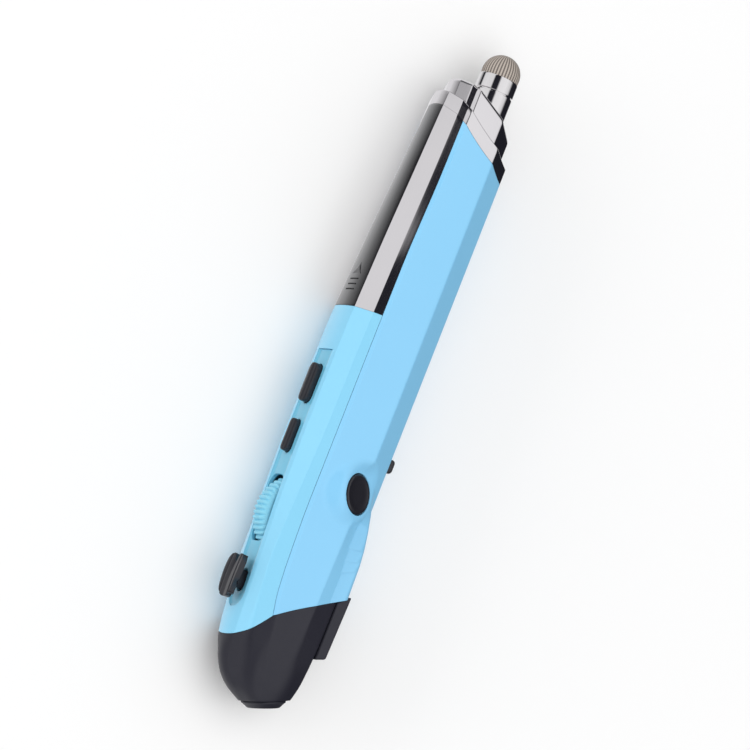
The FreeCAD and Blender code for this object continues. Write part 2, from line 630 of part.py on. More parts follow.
def build_battery():
    end = BATTERY_START + BATTERY_LENGTH
    axis_point = Vector(BATTERY_START, BATTERY_DEPTH, 0)
    cell = cylinder(BATTERY_RADIUS, axis_point, AXIS_X, BATTERY_LENGTH - 1.1)
    cell = cell.fuse(cylinder(1.9, axis_point, AXIS_X, BATTERY_LENGTH))
    PARTS["battery_cell"] = cell.removeSplitter()

    tray_floor = -9.7
    spring_room = 4.2
    tray = block((BATTERY_START - spring_room - 1.0, end + 1.9), (tray_floor, -1.0), (-6.4, 6.4))
    tray = tray.cut(cylinder(BATTERY_RADIUS + 0.2, axis_point - AXIS_X * spring_room, AXIS_X,
                             BATTERY_LENGTH + spring_room + 0.9))
    tray = tray.cut(block((BATTERY_START - spring_room, end + 0.9), (BATTERY_DEPTH, 5),
                          (-BATTERY_RADIUS - 0.2, BATTERY_RADIUS + 0.2)))
    crown_zone = crown_side(-0.4).cut(block((100, 160), (-3.6, 5.0), (-5.9, 5.9)))
    PARTS["battery_tray"] = tray.common(INNER).cut(crown_zone)
    plate = block((end + 0.1, end + 0.5), (BATTERY_DEPTH - 4.2, BATTERY_DEPTH + 2.0), (-3.4, 3.4))
    PARTS["contact_plate"] = plate
    coil = helix_spring(axis_point - AXIS_X * (spring_room - 0.4), 3.0, 0.35, 0.9, 3.3)
    PARTS["contact_spring"] = coil


# ---- sliding cover with the crown and stylus -----------------------------------------------------
def sheared_column(outline, top, corner_radius, rim_radius):
    """Column along the pen with the given outline and a rounded rim, its roof slanted by the cap's slope."""
    height = 24.0
    column = Part.Face(rounded_wire(0.0, outline, corner_radius)).extrude(Vector(height, 0, 0))
    if rim_radius:
        rim = [e for e in column.Edges if e.BoundBox.XMin > height - 0.01]
        column = column.makeFillet(rim_radius, rim)
    shear = FreeCAD.Matrix()
    shear.A12 = CAP_SLOPE
    shear.A14 = top - height
    return column.transformGeometry(shear)


def build_cover():
    zone = CRISP.cut(body_core(1.4, 78.0)).common(front_side(SEAM))
    zone = zone.cut(block((0, PANEL_START + SEAM), (-16, 16), (-15, 15))).cut(CROWN)
    column = panel_width_prism()
    PARTS["battery_cover"] = zone.common(column)
    sides = zone.cut(column).Solids
    for name, side in (("trim_left", -1), ("trim_right", 1)):
        chosen = [s for s in sides if s.CenterOfMass.z * side > 0]
        PARTS[name] = max(chosen, key=lambda solid: solid.Volume)

    top = crown_side(RING_HEIGHT)
    PARTS["crown_ring"] = CRISP.common(CROWN).cut(top).cut(body_core(2.6, 97.0))

    middle = CROWN_BASE[1] + RING_HEIGHT + CAP_HEIGHT
    outline = inset_outline(full_outline(all_stations()[-1][1], False), CAP_INSET)
    solid = sheared_column(outline, middle, 1.6, 1.2)
    hollow = sheared_column(inset_outline(outline, 1.2), middle - 1.4, 0.8, 0.0)
    tube_axis = Vector(STYLUS_JOINTS[0], STYLUS_DEPTH, 0)
    solid = solid.common(top).cut(hollow)
    solid = solid.cut(cylinder(STYLUS_RADIUS, tube_axis - AXIS_X * 5, AXIS_X, 30))
    PARTS["end_cap"] = solid

    start, groove, ferrule_end = STYLUS_JOINTS
    tube = cylinder(STYLUS_RADIUS, tube_axis, AXIS_X, groove - start)
    PARTS["stylus_tube"] = tube.cut(cylinder(3.0, tube_axis, AXIS_X, groove - start - 1.5))
    ring_start = Vector(groove, STYLUS_DEPTH, 0)
    ferrule = cylinder(STYLUS_RADIUS - 0.25, ring_start, AXIS_X, 0.35)
    ferrule = ferrule.fuse(cylinder(STYLUS_RADIUS, ring_start + AXIS_X * 0.35, AXIS_X,
                                    ferrule_end - groove - 0.35))
    ferrule = ferrule.cut(cylinder(3.4, ring_start + AXIS_X * 1.5, AXIS_X, 5))
    PARTS["stylus_ferrule"] = ferrule.removeSplitter()
    radius = STYLUS_RADIUS - 0.1
    dome_centre = Vector(LENGTH - radius, STYLUS_DEPTH, 0)
    dome = Part.makeSphere(radius, dome_centre, AXIS_X, 0, 90)
    dome = dome.fuse(cylinder(radius, Vector(ferrule_end, STYLUS_DEPTH, 0), AXIS_X,
                              dome_centre.x - ferrule_end))
    PARTS["stylus_tip"] = dome.fuse(cylinder(3.4, ring_start + AXIS_X * 1.5, AXIS_X,
                                             ferrule_end - groove - 1.5)).removeSplitter()


def place(shape):
    """From the building frame to the row's frame: keys to -Y, tip to +X, left flat on Z = 0."""
    shape = shape.copy()
    shape.rotate(Vector(0, 0, 0), AXIS_Z, 180)
    shape.translate(Vector(LENGTH / 2, 0, HALF_WIDTH))
    return shape


def main():
    build_nose()
    build_shells()
    build_key_strip()
    build_page_keys()
    build_wheel()
    build_rocker()
    build_side_button()
    build_power_switch()
    build_receiver()
    build_boards()
    build_battery()
    build_cover()
    os.makedirs("parts", exist_ok=True)
    for name, shape in PARTS.items():
        placed = place(shape)
        placed.exportStep("parts/%s.step" % name)
        box = placed.optimalBoundingBox()
        print("%-16s solids %d valid %s volume %8.1f  x %6.1f %6.1f  y %6.1f %6.1f  z %6.1f %6.1f"
              % (name, len(placed.Solids), placed.isValid(), placed.Volume,
                 box.XMin, box.XMax, box.YMin, box.YMax, box.ZMin, box.ZMax))


main()
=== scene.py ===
import math

import bmesh
import bpy
import numpy as np
from mathutils import Matrix, Vector


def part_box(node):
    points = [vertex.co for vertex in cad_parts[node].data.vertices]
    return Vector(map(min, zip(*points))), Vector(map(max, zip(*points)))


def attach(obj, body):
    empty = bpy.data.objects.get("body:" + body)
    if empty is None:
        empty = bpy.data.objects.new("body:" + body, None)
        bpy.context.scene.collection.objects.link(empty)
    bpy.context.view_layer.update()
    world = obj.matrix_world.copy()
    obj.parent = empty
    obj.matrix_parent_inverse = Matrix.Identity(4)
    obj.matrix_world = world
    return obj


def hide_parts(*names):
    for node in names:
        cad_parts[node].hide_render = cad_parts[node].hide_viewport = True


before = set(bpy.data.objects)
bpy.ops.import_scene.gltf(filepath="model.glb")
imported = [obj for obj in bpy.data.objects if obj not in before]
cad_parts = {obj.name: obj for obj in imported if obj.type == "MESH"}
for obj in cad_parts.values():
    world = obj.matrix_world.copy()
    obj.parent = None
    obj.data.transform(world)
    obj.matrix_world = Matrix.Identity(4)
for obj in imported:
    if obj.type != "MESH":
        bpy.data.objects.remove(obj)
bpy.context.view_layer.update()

# Cordless pen mouse with a stylus end.  Shapes are worked out in the pen's own millimetres: x from
# the sensor tip to the stylus end, f forwards to the keys, s sideways to the side button.
MM = 0.001
REACH = -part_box("stylus_tip")[0].x / MM           # tip to middle of the pen
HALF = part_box("crown_ring")[1].z / MM / 2         # half width, to the side flats
PICTURE = 750                                     # the photograph's frame in pixels


def place(x, f, s):
    """Pen millimetres to the frame's metres: +X to the tip, -Y to the keys, +Z to the button."""
    return ((REACH - x) * MM, -f * MM, (s + HALF) * MM)


# ---- the body's form ----------------------------------------------------------------------------
# x, then (f, s) of one half's corners: front edge, shoulder, seam, front and back of the side
# flat, back edge.
BODY_STATIONS = [
    (13.0, (8.7, 3.9), (7.0, 6.9), (3.2, 8.35), (2.4, 8.6), (-4.3, 8.6), (-9.75, 5.9)),
    (18.0, (9.2, 4.3), (7.7, 7.3), (4.0, 8.85), (3.2, 9.15), (-4.2, 9.15), (-9.8, 6.3)),
    (24.0, (9.6, 4.5), (8.45, 7.4), (5.2, 9.1), (4.35, 9.4), (-4.2, 9.4), (-9.8, 6.3)),
    (32.0, (10.05, 4.6), (8.95, 7.5), (5.8, 9.2), (4.95, 9.5), (-4.3, 9.5), (-9.9, 6.0)),
    (45.0, (10.75, 4.75), (8.65, 7.8), (6.15, 9.2), (5.3, 9.5), (-4.6, 9.5), (-10.95, 3.5)),
    (60.0, (11.05, 4.8), (8.2, 8.1), (6.15, 9.2), (5.3, 9.5), (-4.6, 9.5), (-11.0, 3.3)),
    (78.0, (11.07, 4.8), (8.05, 8.2), (6.15, 9.2), (5.3, 9.5), (-4.6, 9.5), (-11.0, 3.3)),
    (97.5, (10.35, 4.32), (7.65, 8.1), (6.1, 9.2), (5.25, 9.5), (-4.6, 9.5), (-11.0, 3.3)),
    (118.7, (9.15, 3.75), (6.9, 8.0), (5.4, 9.07), (4.6, 9.5), (-4.6, 9.5), (-11.0, 3.3)),
    (141.0, (7.85, 3.1), (6.3, 7.7), (5.0, 8.63), (4.2, 9.5), (-4.6, 9.5), (-11.0, 3.3)),
]
# The nose is nearly an ellipse: x, its front f, its back f and its half width.
NOSE_STATIONS = [(0.0, -1.9, -8.0, 3.5), (3.0, 3.95, -9.4, 5.3), (5.5, 6.3, -9.8, 6.4),
                 (8.8, 7.95, -9.9, 7.5)]
NOSE_ANGLES = (20.0, 48.0, 66.0, 80.0, 116.0, 152.0)
NOSE_SWELL, NOSE_BACK_SWELL = 1.04, 0.12           # how far the corners stand off that ellipse
NOSE_RADIUS = 6.0
EDGE_RADII = (0.45, 0.5, 0.35, 0.3, 0.9, 1.1)      # of the six corners, along the blue body
TRIM_RADII = (0.3, 0.22, 0.2, 0.3, 0.9, 1.1)       # and along the bright metal
FRONT_CROWN, BACK_CROWN = 0.42, 0.1                # rise of the front and back faces in the middle
FRONT_TURN, BACK_TURN = 0.8, 0.7                   # share of the half width where they turn down
MOST_OF_FACET = 0.42                               # the most of a facet that one rounding takes

ARC_STEPS, FACE_STEPS = 6, 5                       # steps in a rounding, and in half a face
NARROW_STEPS, WIDE_STEPS = 2, 13                   # points between two roundings
PER_CORNER = ARC_STEPS + NARROW_STEPS + 1
EDGE, SEAM = (FACE_STEPS + k * PER_CORNER + ARC_STEPS // 2 for k in (0, 2))
SECTION_STEP = 0.25
BODY_CORNERS = range(len(EDGE_RADII))


def monotone(x, y, at):
    """Smooth curve through the points that never overshoots them."""
    h = np.diff(x)
    slope = np.diff(y) / h
    tangent = np.zeros(len(x))
    product = slope[:-1] * slope[1:]
    total = slope[:-1] + slope[1:]
    turning = product > 0
    tangent[1:-1][turning] = 2 * product[turning] / total[turning]
    tangent[0], tangent[-1] = slope[0], slope[-1]
    i = np.clip(np.searchsorted(x, at) - 1, 0, len(x) - 2)
    t = (at - x[i]) / h[i]
    return ((1 + 2 * t) * (1 - t) ** 2 * y[i] + t * (1 - t) ** 2 * h[i] * tangent[i]
            + t * t * (3 - 2 * t) * y[i + 1] + t * t * (t - 1) * h[i] * tangent[i + 1])


def station_table():
    """x and the six corners (f, s) at each station, from the tip to the far end."""
    xs, rows = [], []
    for x, front, back, half in NOSE_STATIONS:
        middle, reach = (front + back) / 2, (front - back) / 2
        xs.append(x)
        row = []
        for angle in NOSE_ANGLES:
            swell = NOSE_SWELL
            if angle > 90:
                swell += NOSE_BACK_SWELL * min(1.0, max(0.0, x - 1.5) / 6.0)
            turn = math.radians(angle)
            row.append((middle + reach * swell * math.cos(turn),
                        min(half, half * swell * math.sin(turn))))
        rows.append(row)
    for x, *corners in BODY_STATIONS:
        xs.append(x)
        rows.append(corners)
    return np.array(xs), np.array(rows, float)


def half_section(corners, radii, crown):
    """Points of one half outline, from the middle of the front to the middle of the back."""
    front = corners[0] + (crown, 0.0)
    back = corners[-1] - (BACK_CROWN, 0.0)
    front[1] = back[1] = 0.0
    points = []
    near_front = corners[0] * (1, FRONT_TURN) + (crown * (1 - FRONT_TURN ** 2), 0.0)
    near_back = corners[-1] * (1, BACK_TURN) - (BACK_CROWN * (1 - BACK_TURN ** 2), 0.0)
    chain = [near_front, *corners, near_back]
    arcs = []
    for k, radius in enumerate(radii):
        before, here, after = chain[k], chain[k + 1], chain[k + 2]
        a, b = before - here, after - here
        la, lb = np.hypot(*a), np.hypot(*b)
        turn = math.pi - math.acos(np.clip(a @ b / (la * lb), -1, 1))
        trim = min(radius * math.tan(turn / 2) + 0.05, MOST_OF_FACET * la, MOST_OF_FACET * lb)
        start, end = here + a / la * trim, here + b / lb * trim
        t = np.linspace(0, 1, ARC_STEPS + 1)[:, None]
        arcs.append((1 - t) ** 2 * start + 2 * t * (1 - t) * here + t * t * end)
    edge = arcs[0][0]
    rise = front[0] - edge[0]
    for share in np.linspace(0, 1, FACE_STEPS + 1)[:-1]:
        points.append((front[0] - rise * share ** 2, edge[1] * share))
    for k, arc in enumerate(arcs):
        points.extend(arc)
        if k + 1 < len(arcs):
            gap = arcs[k + 1][0] - arc[-1]
            between = NARROW_STEPS if k < 3 else WIDE_STEPS
            points.extend(arc[-1] + gap * step / (between + 1) for step in range(1, between + 1))
    edge = arcs[-1][-1]
    for share in np.linspace(0, 1, FACE_STEPS)[1:]:
        rise = (back[0] - edge[0]) * (1 - (1 - share) ** 2)
        points.append((edge[0] + rise, edge[1] * (1 - share)))
    return np.array(points)


def section_table():
    """Half outlines at every SECTION_STEP of x."""
    xs, stations = station_table()
    at = np.arange(0.0, xs[-1] + 0.01, SECTION_STEP)
    columns = [[monotone(xs, stations[:, k, axis], at) for axis in (0, 1)] for k in BODY_CORNERS]
    nose = np.interp(at, (9.0, 16.0, 24.0), (1.0, 0.45, 0.0))
    bright = np.interp(at, (80.0, 88.0), (0.0, 1.0))
    crown = FRONT_CROWN * np.interp(at, (0.0, 14.0, 30.0, 120.0, 140.0), (1.6, 1.2, 1.0, 1.0, 0.6))
    table = []
    for i in range(len(at)):
        corners = np.array([[columns[k][0][i], columns[k][1][i]] for k in BODY_CORNERS])
        radii = [max(NOSE_RADIUS * nose[i], (1 - bright[i]) * e + bright[i] * t)
                 for e, t in zip(EDGE_RADII, TRIM_RADII)]
        table.append(half_section(corners, radii, crown[i]))
    return np.array(table)


SECTIONS = section_table()
HALF_COUNT = SECTIONS.shape[1]
FULL_RING = list(range(-(HALF_COUNT - 2), HALF_COUNT))
HALVINGS = 40


def section_point(x, column):
    """(f, s) on the body at x for outline columns: plus on the button's side, minus opposite."""
    position = np.clip(np.asarray(x, float) / SECTION_STEP, 0, len(SECTIONS) - 1.001)
    low = position.astype(int)
    share = (position - low)[..., None]
    index = np.abs(column)
    point = SECTIONS[low, index] * (1 - share) + SECTIONS[low + 1, index] * share
    point[..., 1] *= np.where(np.asarray(column) < 0, -1.0, 1.0)
    return point


def edge_x(bound, columns):
    """Where each outline column meets a boundary given as x over f."""
    low = np.zeros(len(columns))
    high = np.full(len(columns), (len(SECTIONS) - 1) * SECTION_STEP)
    for _ in range(HALVINGS):
        middle = (low + high) / 2
        beyond = middle > bound(section_point(middle, columns)[:, 0])
        high = np.where(beyond, middle, high)
        low = np.where(beyond, low, middle)
    return (low + high) / 2


def through(points):
    """x over f on the parabola through three (x, f) points."""
    (x0, f0), (x1, f1), (x2, f2) = points

    def curve(f):
        return (x0 * (f - f1) * (f - f2) / ((f0 - f1) * (f0 - f2))
                + x1 * (f - f0) * (f - f2) / ((f1 - f0) * (f1 - f2))
                + x2 * (f - f0) * (f - f1) / ((f2 - f0) * (f2 - f1)))
    return curve


PARTING_BEND, PARTING_TOP = (18.9, 4.1), 9.6
PARTING_FRONT = through(((12.2, 9.2), (14.2, 7.35), PARTING_BEND))
PARTING_REAR = through((PARTING_BEND, (22.6, -1.2), (26.9, -8.9)))
CROWN_X = 128.1
CROWN_BASE = through(((123.6, -11.0), (CROWN_X, 0.0), (134.2, 8.8)))
PANEL_START = 86.3
RING_HEIGHT = 3.5
FOOT_TOP = (2.85, -5.1)
NOSE_LEAN = math.radians(23.0)


def parting(shift):
    """Boundary between nose and blue body."""
    return lambda f: shift + np.where(f > PARTING_BEND[1],
                                      PARTING_FRONT(np.minimum(f, PARTING_TOP)), PARTING_REAR(f))


def crown(shift):
    """Boundary below the slanted ring."""
    return lambda f: CROWN_BASE(f) + shift


def constant(x):
    return lambda f: np.full(np.shape(f), x)


def foot_plane(f):
    """Boundary where the nose meets the slanted foot."""
    return FOOT_TOP[0] - (f - FOOT_TOP[1]) * math.tan(NOSE_LEAN)


# ---- mesh helpers -------------------------------------------------------------------------------
def mesh_object(name, points, faces):
    """Object from points in pen millimetres."""
    mesh = bpy.data.meshes.new(name)
    mesh.from_pydata([place(*p) for p in points], [], faces)
    mesh.update()
    piece = bpy.data.objects.new(name, mesh)
    bpy.context.scene.collection.objects.link(piece)
    return piece


def outward(piece):
    """Makes the faces' winding agree and, on a closed mesh, point outwards."""
    bm = bmesh.new()
    bm.from_mesh(piece.data)
    bmesh.ops.remove_doubles(bm, verts=bm.verts, dist=1e-7)
    bmesh.ops.recalc_face_normals(bm, faces=bm.faces)
    bm.to_mesh(piece.data)
    bm.free()


def face_front(sheet):
    """Turns an open sheet's faces to the keys' side."""
    if sum(polygon.normal.y for polygon in sheet.data.polygons) > 0:
        sheet.data.flip_normals()


def grid_faces(rows, columns, closed=False):
    """Faces between rows of points, each row open or closed on itself."""
    faces = []
    across = columns if closed else columns - 1
    for i in range(rows - 1):
        for j in range(across):
            k = (j + 1) % columns
            row, after = i * columns, (i + 1) * columns
            faces.append((row + j, row + k, after + k, after + j))
    return faces


def bake(piece):
    """Applies every modifier, so that the mesh is final."""
    bpy.context.view_layer.update()
    result = piece.evaluated_get(bpy.context.evaluated_depsgraph_get())
    mesh = bpy.data.meshes.new_from_object(result)
    piece.modifiers.clear()
    piece.data = mesh


def solidify(piece, thickness):
    """Gives a surface a wall, inwards from its outer face."""
    wall = piece.modifiers.new("wall", "SOLIDIFY")
    wall.thickness = thickness * MM
    wall.offset = -1.0
    bake(piece)
    outward(piece)


def cut(piece, *cutters):
    """Takes the cutters' volumes out of the piece, and deletes the cutters."""
    for cutter in cutters:
        step = piece.modifiers.new("cut", "BOOLEAN")
        step.object = cutter
        step.operation = "DIFFERENCE"
        step.solver = "MANIFOLD"
    bake(piece)
    for cutter in cutters:
        bpy.data.objects.remove(cutter)


def soften(piece, width=0.0, segments=2, angle=40.0):
    """Rounds the edges that turn more than the angle, or keeps them sharp at no width."""
    for polygon in piece.data.polygons:
        polygon.use_smooth = True
    if not width:
        piece.data.set_sharp_from_angle(angle=math.radians(angle))
    else:
        bevel = piece.modifiers.new("edges", "BEVEL")
        bevel.width = width * MM
        bevel.segments = segments
        bevel.limit_method = "ANGLE"
        bevel.angle_limit = math.radians(angle)
        bevel.use_clamp_overlap = True
    normals = piece.modifiers.new("normals", "WEIGHTED_NORMAL")
    normals.keep_sharp = True
    normals.weight = 60
    bake(piece)


def skin(name, columns, low, high, rows, joint=0.0):
    """A stretch of the body's surface between two boundaries, its long edges drawn in by joint."""
    columns = np.array(columns)
    start, end = edge_x(low, columns), edge_x(high, columns)
    points = []
    for share in np.linspace(0, 1, rows):
        x = start + (end - start) * share
        fs = section_point(x, columns)
        for edge, beside in ((0, 1), (-1, -2)):
            toward = fs[beside] - fs[edge]
            fs[edge] += toward * min(joint / np.hypot(*toward), 0.5)
        points.extend((x[j], fs[j, 0], fs[j, 1]) for j in range(len(columns)))
    closed = len(columns) == len(FULL_RING)
    return mesh_object(name, points, grid_faces(rows, len(columns), closed))


def turned(name, profile, origin, axis, count=64, wave=None):
    """Surface turned about an axis: profile of (radius, height), wave(angle, k) adds to row k."""
    axis = Vector(axis).normalized()
    side = axis.cross(Vector((0, 0, 1)) if abs(axis.z) < 0.9 else Vector((1, 0, 0))).normalized()
    other = axis.cross(side)
    points = []
    for k, (radius, height) in enumerate(profile):
        for i in range(count):
            angle = 2 * math.pi * i / count
            r = radius + (wave(angle, k) if wave else 0.0)
            outwards = side * math.cos(angle) + other * math.sin(angle)
            points.append(Vector(origin) + axis * height + outwards * r)
    piece = mesh_object(name, points, grid_faces(len(profile), count, True))
    outward(piece)
    return piece


def arc_profile(radius_centre, height_centre, radius, start, end, steps=8):
    """Round stretch of a turned profile, angles in degrees from the outward direction."""
    return [(radius_centre + radius * math.cos(a), height_centre + radius * math.sin(a))
            for a in np.radians(np.linspace(start, end, steps))]


def prism(name, outline, low, high, axis):
    """Closed prism: outline of pairs, pushed from low to high along 'f' or 's'."""
    count = len(outline)
    points = []
    for level in (low, high):
        for u, v in outline:
            points.append((u, level, v) if axis == "f" else (u, v, level))
    faces = [tuple(range(count)), tuple(range(2 * count - 1, count - 1, -1))]
    faces += [(i, (i + 1) % count, count + (i + 1) % count, count + i) for i in range(count)]
    piece = mesh_object(name, points, faces)
    outward(piece)
    return piece


def round_rectangle(centre, length, width, radius, steps=8):
    """Outline in (x, s) with rounded corners."""
    outline = []
    reach, half = length / 2 - radius, width / 2 - radius
    for quarter, (dx, ds) in enumerate(((1, 1), (-1, 1), (-1, -1), (1, -1))):
        for i in range(steps + 1):
            angle = math.radians(90 * quarter + 90 * i / steps)
            outline.append((centre + dx * reach + radius * math.cos(angle),
                            ds * half + radius * math.sin(angle)))
    return outline


# ---- materials ----------------------------------------------------------------------------------
POLISH_STRETCH = (60.0, 900.0, 900.0)
STYLUS_DEPTH, STYLUS_RADIUS = -3.2, 4.25
FIBRE_RIBS, RING_SPACING, RING_WEIGHT = 38.0, 0.00045, 0.12


def srgb(code):
    """Linear colour of a hex code."""
    values = [int(code[i:i + 2], 16) / 255 for i in (0, 2, 4)]
    return [v / 12.92 if v <= 0.04045 else ((v + 0.055) / 1.055) ** 2.4 for v in values] + [1.0]


class Surface:
    """A procedural material: one shader, and noise for its colour, roughness and height."""

    def __init__(self, name, color, roughness, metallic=0.0, coat=0.0):
        self.material = bpy.data.materials.new(name)
        self.material.use_nodes = True
        self.nodes = self.material.node_tree.nodes
        self.links = self.material.node_tree.links
        self.shader = self.nodes["Principled BSDF"]
        self.shader.inputs["Base Color"].default_value = color
        self.shader.inputs["Roughness"].default_value = roughness
        self.shader.inputs["Metallic"].default_value = metallic
        self.shader.inputs["Coat Weight"].default_value = coat
        self.shader.inputs["Coat Roughness"].default_value = 0.08
        self.where = self.nodes.new("ShaderNodeTexCoord").outputs["Object"]
        self.height = None

    def stretched(self, scale):
        mapping = self.nodes.new("ShaderNodeMapping")
        mapping.inputs["Scale"].default_value = scale
        self.links.new(self.where, mapping.inputs["Vector"])
        return mapping.outputs["Vector"]

    def noise(self, scale, detail=3.0, stretch=None, rough=0.55):
        node = self.nodes.new("ShaderNodeTexNoise")
        node.inputs["Scale"].default_value = scale
        node.inputs["Detail"].default_value = detail
        node.inputs["Roughness"].default_value = rough
        self.links.new(self.stretched(stretch) if stretch else self.where, node.inputs["Vector"])
        return node.outputs["Fac"]

    def spread(self, factor, low, high, start=0.0):
        """Maps start..1 to low..high."""
        node = self.nodes.new("ShaderNodeMapRange")
        node.inputs["From Min"].default_value = start
        node.inputs["To Min"].default_value = low
        node.inputs["To Max"].default_value = high
        self.links.new(factor, node.inputs["Value"])
        return node.outputs["Result"]

    def math(self, operation, *values):
        """A Math node on sockets and numbers."""
        node = self.nodes.new("ShaderNodeMath")
        node.operation = operation
        for socket, value in zip(node.inputs, values):
            if isinstance(value, float):
                socket.default_value = value
            else:
                self.links.new(value, socket)
        return node.outputs[0]

    def wave(self, value, rate):
        """Sine of the value times the rate, from 0 to 1."""
        return self.spread(self.math("SINE", self.math("MULTIPLY", value, rate)), 0.0, 1.0, -1.0)

    def tint(self, factor, first, second):
        node = self.nodes.new("ShaderNodeMix")
        node.data_type = "RGBA"
        node.inputs["A"].default_value = first
        node.inputs["B"].default_value = second
        self.links.new(factor, node.inputs["Factor"])
        self.links.new(node.outputs["Result"], self.shader.inputs["Base Color"])

    def rough(self, factor, low, high):
        self.links.new(self.spread(factor, low, high), self.shader.inputs["Roughness"])

    def bump(self, factor, strength, distance):
        node = self.nodes.new("ShaderNodeBump")
        node.inputs["Strength"].default_value = strength
        node.inputs["Distance"].default_value = distance
        self.links.new(factor, node.inputs["Height"])
        if self.height:
            self.links.new(self.height, node.inputs["Normal"])
        self.height = node.outputs["Normal"]
        self.links.new(self.height, self.shader.inputs["Normal"])


def moulded(name, first, second, roughness, coat=0.0, grain=2600.0, depth=0.00002):
    """Moulded plastic: a slow drift of colour, a fine grain and slightly uneven gloss."""
    surface = Surface(name, srgb(first), roughness, coat=coat)
    surface.tint(surface.noise(45.0, 4.0), srgb(first), srgb(second))
    surface.rough(surface.noise(320.0, 4.0), roughness * 0.85, roughness * 1.2)
    surface.bump(surface.noise(grain, 2.0), 0.35, depth)
    return surface.material


def polished(name, first, second, roughness):
    """Bright plated metal with faint lengthwise polishing marks."""
    surface = Surface(name, srgb(first), roughness, metallic=1.0)
    surface.tint(surface.noise(70.0), srgb(first), srgb(second))
    surface.rough(surface.noise(1.0, 3.0, POLISH_STRETCH), roughness * 0.7, roughness * 1.5)
    surface.bump(surface.noise(1.0, 2.0, POLISH_STRETCH), 0.06, 0.00001)
    return surface.material


def woven_fibre(name):
    """Conductive fibre cap: fine ribs that run from the end's middle down its sides."""
    surface = Surface(name, srgb("8d8178"), 0.62, metallic=0.25)
    middle = place(0.0, STYLUS_DEPTH, 0.0)
    split = surface.nodes.new("ShaderNodeSeparateXYZ")
    surface.links.new(surface.where, split.inputs["Vector"])
    angle = surface.math("ARCTAN2", surface.math("SUBTRACT", split.outputs["Y"], middle[1]),
                         surface.math("SUBTRACT", split.outputs["Z"], middle[2]))
    ribs = surface.wave(angle, FIBRE_RIBS)
    rings = surface.wave(split.outputs["X"], 2 * math.pi / RING_SPACING)
    weave = surface.math("MULTIPLY_ADD", rings, RING_WEIGHT, ribs)
    surface.tint(weave, srgb("5a524d"), srgb("c9beb4"))
    surface.bump(weave, 0.8, 0.00012)
    surface.bump(surface.noise(5200.0), 0.4, 0.00005)
    return surface.material


# A material's two hex colours, its roughness, then the clear coat, grain and depth of the grain.
BLUE = moulded("shell_blue", "81c5ec", "88cbf1", 0.3, coat=0.3)
FRONT_BLUE = moulded("front_blue", "83caea", "8ad0ef", 0.3, coat=0.3)
STRIP_BLUE = moulded("strip_blue", "69b6d3", "70bcd9", 0.34, coat=0.2)
WHEEL_BLUE = moulded("wheel_blue", "80c8e0", "89d0e8", 0.5, coat=0.1, grain=3400.0)
BLACK = moulded("shell_black", "1c1c27", "22222d", 0.46, grain=3000.0, depth=0.00004)
KEY_BLACK = moulded("key_black", "1b1b22", "222229", 0.36, coat=0.1, grain=3600.0)
PANEL = moulded("panel_gloss", "08080a", "101014", 0.08, coat=1.0, grain=900.0,
                depth=0.000002)
CHROME = polished("chrome_trim", "e6e3e4", "dedcde", 0.09)
TUBE_CHROME = polished("stylus_chrome", "eceaea", "e2e0e0", 0.07)
STEEL = polished("steel_part", "b4b4b8", "a2a2a8", 0.28)
GOLD = polished("contact_gold", "d9b878", "c9a35e", 0.25)
MARK = moulded("mark_matte", "101013", "16161a", 0.65)
ARROW = moulded("arrow_gloss", "121215", "1a1a1e", 0.22, coat=0.6)
FIBRE = woven_fibre("stylus_fibre")
BOARD = moulded("board_green", "1d5a36", "246842", 0.4, coat=0.3, grain=1500.0)
CHIP = moulded("chip_black", "1c1c1f", "242428", 0.55)
FRAME_GREY = moulded("frame_grey", "4a4b50", "55565c", 0.6)
SLEEVE = moulded("cell_sleeve", "5c6168", "6b7078", 0.32, coat=0.5)
LENS = moulded("lens_red", "3a0c10", "4a1014", 0.1, coat=1.0)


def finish(piece, body, slot, material, *nodes):
    """Puts the material on, sets the body and hides the replaced CAD nodes; the slot is not used.
    """
    piece.data.materials.clear()
    piece.data.materials.append(material)
    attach(piece, body)
    if nodes:
        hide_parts(*nodes)


# ---- shells -------------------------------------------------------------------------------------
GAP, JOINT = 0.045, 0.07            # half the gap of a parting line; a long seam's draw-in
CROWN_GAP = -0.03
FRONT_COLUMNS = list(range(-SEAM + 1, SEAM))
REAR_COLUMNS = list(range(SEAM + 1, HALF_COUNT)) + list(range(-(HALF_COUNT - 2), -SEAM))
BACK = -11.0                        # f of the back face
CUT_FRONT = (3.0, 16.0)             # f from inside the body to well in front of it

STRIP_START, STRIP_END, STRIP_HALF = 18.3, 76.2, 3.3
STRIP_SINK, STRIP_RIM = 0.34, 0.75  # how deep it lies, and the width of its sloping rim
STRIP_ACROSS = (0.0, 0.3, 0.6, 0.76, 0.8, 0.86, 0.92, 0.96, 0.985, 1.0)
PAGE_KEYS = {"page_up_key": (68.3, 8.7, 3.1, 1.85), "page_down_key": (56.4, 7.3, 2.5, 1.6)}
PAGE_BODIES = {"page_up_key": "page_up", "page_down_key": "page_down"}
KEY_END, KEY_STEPS = 0.46, 17       # radius of the ends as a share of the width, and its steps

WHEEL_X, WHEEL_RADIUS, WHEEL_WIDTH, WHEEL_DEPTH = 40.4, 9.4, 5.0, 3.2
WHEEL_RIB, WHEEL_RIBS, WHEEL_COUNT, WHEEL_ROUNDING = 0.5, 50, 600, 1.3
WHEEL_SLOT = (14.9, 5.8, 1.7)       # length, width, corner radius
ROCKER_X, ROCKER_LENGTH, ROCKER_HALF, ROCKER_THICK, ROCKER_VEE = 24.2, 9.6, 3.3, 1.25, 0.35
STEM_LENGTH, STEM_WIDTH, STEM_POWER = 4.2, 2.3, 2.4

